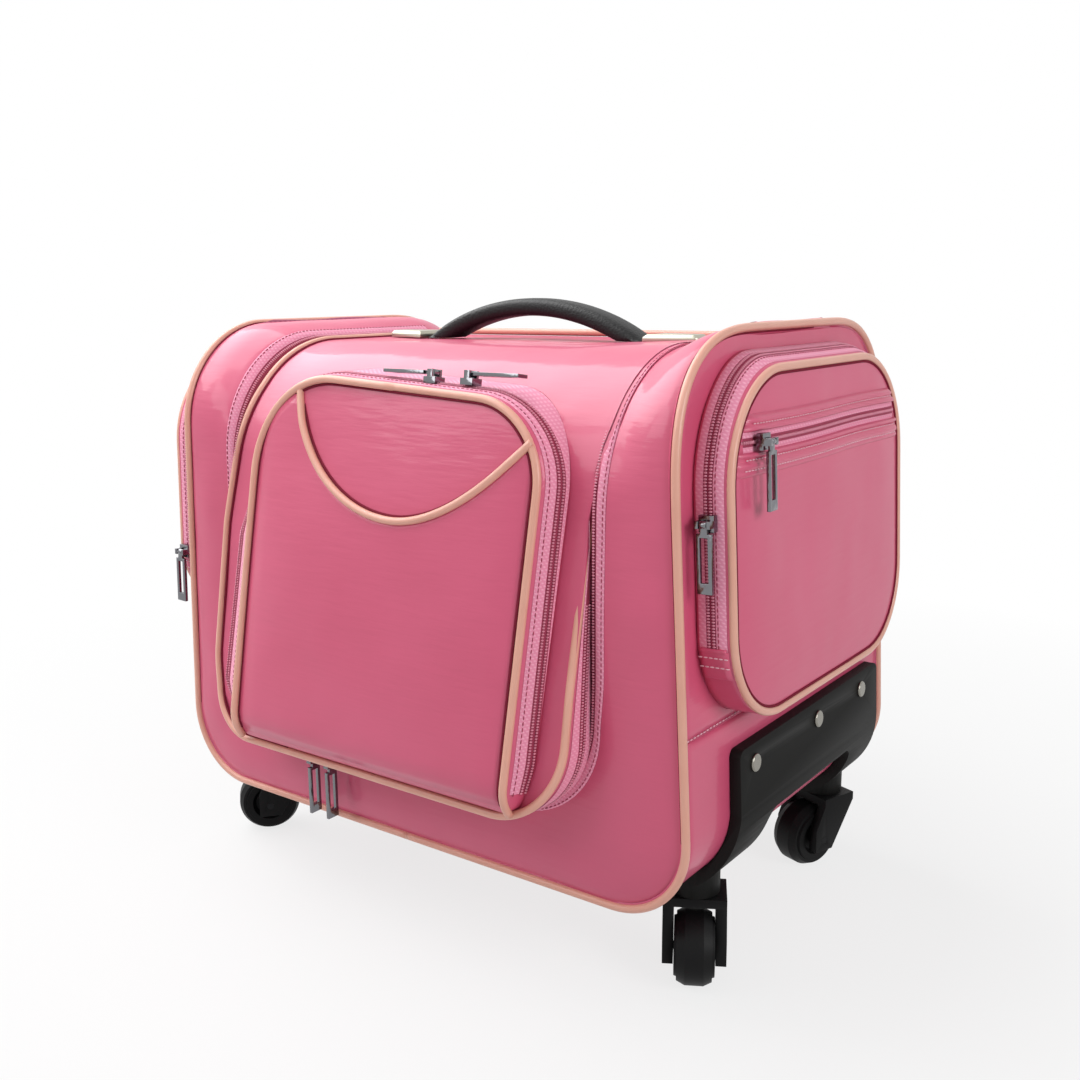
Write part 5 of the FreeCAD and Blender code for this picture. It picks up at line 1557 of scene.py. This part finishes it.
grip_rows = []
for step in np.linspace(-1, 1, GRIP_RINGS):
    angle = math.radians(90 - step * (arch_swing + END_SWING))
    outward = np.array([math.cos(angle), 0, math.sin(angle)])
    middle = np.array([0, GRIP_Y, TOP + ARCH_CROWN - arch_radius]) + outward * arch_radius
    swell = 1 - 0.1 * abs(step) ** 6
    wide = GRIP_WIDE * swell * squared(np.cos(angles), 0.6)
    tall = GRIP_TALL * swell * squared(np.sin(angles), 0.7)
    ring = middle + np.outer(tall, outward) + np.outer(wide, (0, 1, 0))
    ring[:, 2] = np.maximum(ring[:, 2], TOP + 0.2)
    grip_rows.append(np.concatenate([ring, ring[:1]]))
grip_rows = np.array(grip_rows)
grip_faces = grid_faces(*grip_rows.shape[:2])
grip_faces.append(list(range(GRIP_SIDES))[::-1])
grip_faces.append([(GRIP_RINGS - 1) * (GRIP_SIDES + 1) + step for step in range(GRIP_SIDES)])
grip = make_piece("carry_grip", grip_rows, grip_faces, grip_leather)
sew(grip, (0, GRIP_Y, TOP + 15))
settle(grip, "flap", "grip_black", "handle_grip")
print("grip:", len(grip.data.polygons), "faces")

# %% [markdown]
# ## Hard parts
# A moulded or cast part never has a knife edge: light catches a small rounding. Each hard solid is copied, its
# loose triangles are merged, and a bevel of real size rounds its edges.

# %% Rounded copies of hard parts
def dress(mesh, finish):
    """Give a whole mesh one finish."""
    mesh.materials.clear()
    mesh.materials.append(finish)


def round_copy(node, width, finish, slot):
    """A copy of a hard CAD node with rounded edges, standing for it."""
    source = frame["nodes"][node]
    mesh = source.data.copy()
    mesh.name = f"{node}_rounded"
    with reworked(mesh) as work:
        bmesh.ops.remove_doubles(work, verts=work.verts, dist=0.01 * MM)
        bmesh.ops.dissolve_limit(work, angle_limit=math.radians(1.5), verts=work.verts, edges=work.edges)
    dress(mesh, finish)
    piece = put(f"{node}_rounded", mesh)
    bevel = piece.modifiers.new("rounded", "BEVEL")
    bevel.width = width * MM
    bevel.segments = 2
    bevel.limit_method = "ANGLE"
    bevel.angle_limit = math.radians(35)
    bevel.harden_normals = True
    mesh.shade_smooth()
    settle(piece, source["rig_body"], slot, node)


zip_names = ("main_left", "main_right", "pocket_left", "pocket_right", "right_pocket", "left_pocket", "slit")
corners = ("front_right", "rear_right", "front_left", "rear_left")
for name in zip_names:
    round_copy(f"{name}_slider", 0.5, chrome, "chrome")
    round_copy(f"{name}_pull", 0.5, chrome, "chrome")
round_copy("handle_anchor_plates", 0.6, satin_silver, "satin_silver")
for side, name in SIDES:
    round_copy(f"{name}_wheel_bracket", 1.2, black_plastic, "black_plastic")
for name in corners:
    round_copy(f"{name}_fork", 1.2, caster_nylon, "black_plastic")
for name in ("trolley_housing", "trolley_grip", "trolley_button"):
    round_copy(name, 0.8, black_plastic, "black_plastic")
print("rounded copies made")

# %% [markdown]
# Each wheel has a raised boss on both sides that nearly touches the fork. It is made from the wheel's own shape,
# drawn in towards the axle and stretched along it.

# %% Wheel bosses
STRETCH = 1.15
DRAWN_IN = 0.86
for name in corners:
    source = frame["nodes"][f"{name}_wheel"]
    mesh = source.data.copy()
    spots = np.array([source.matrix_world @ vertex.co for vertex in mesh.vertices])
    middle = (spots.min(0) + spots.max(0)) / 2
    axle_way = np.linalg.eigh(np.cov((spots - middle).T))[1][:, 0]
    along = np.outer((spots - middle) @ axle_way, axle_way)
    mesh.vertices.foreach_set("co", (middle + STRETCH * along + DRAWN_IN * (spots - middle - along)).ravel())
    dress(mesh, caster_nylon)
    settle(put(f"{name}_wheel_boss", mesh), source["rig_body"], "wheel_black")
print("wheel bosses:", len(corners))

# %% Finishes of the nodes that stay
kept = {"bracket_rivets": rivet_steel, "caster_stems": brushed_steel, "base_board": board_cloth}
kept.update({f"trolley_{part}_tubes": tube_metal for part in ("outer", "middle", "inner")})
for name in corners:
    kept[f"{name}_axle"] = axle_steel
    kept[f"{name}_wheel"] = wheel_plastic
for name, finish in kept.items():
    dress(frame["nodes"][name].data, finish)
print("nodes kept as they are:", len(kept))

# %% [markdown]
# ## Finish
# The small items that were copied are removed.

# %% Remove the copied items
for item in (stitch, tooth):
    bpy.data.objects.remove(item)
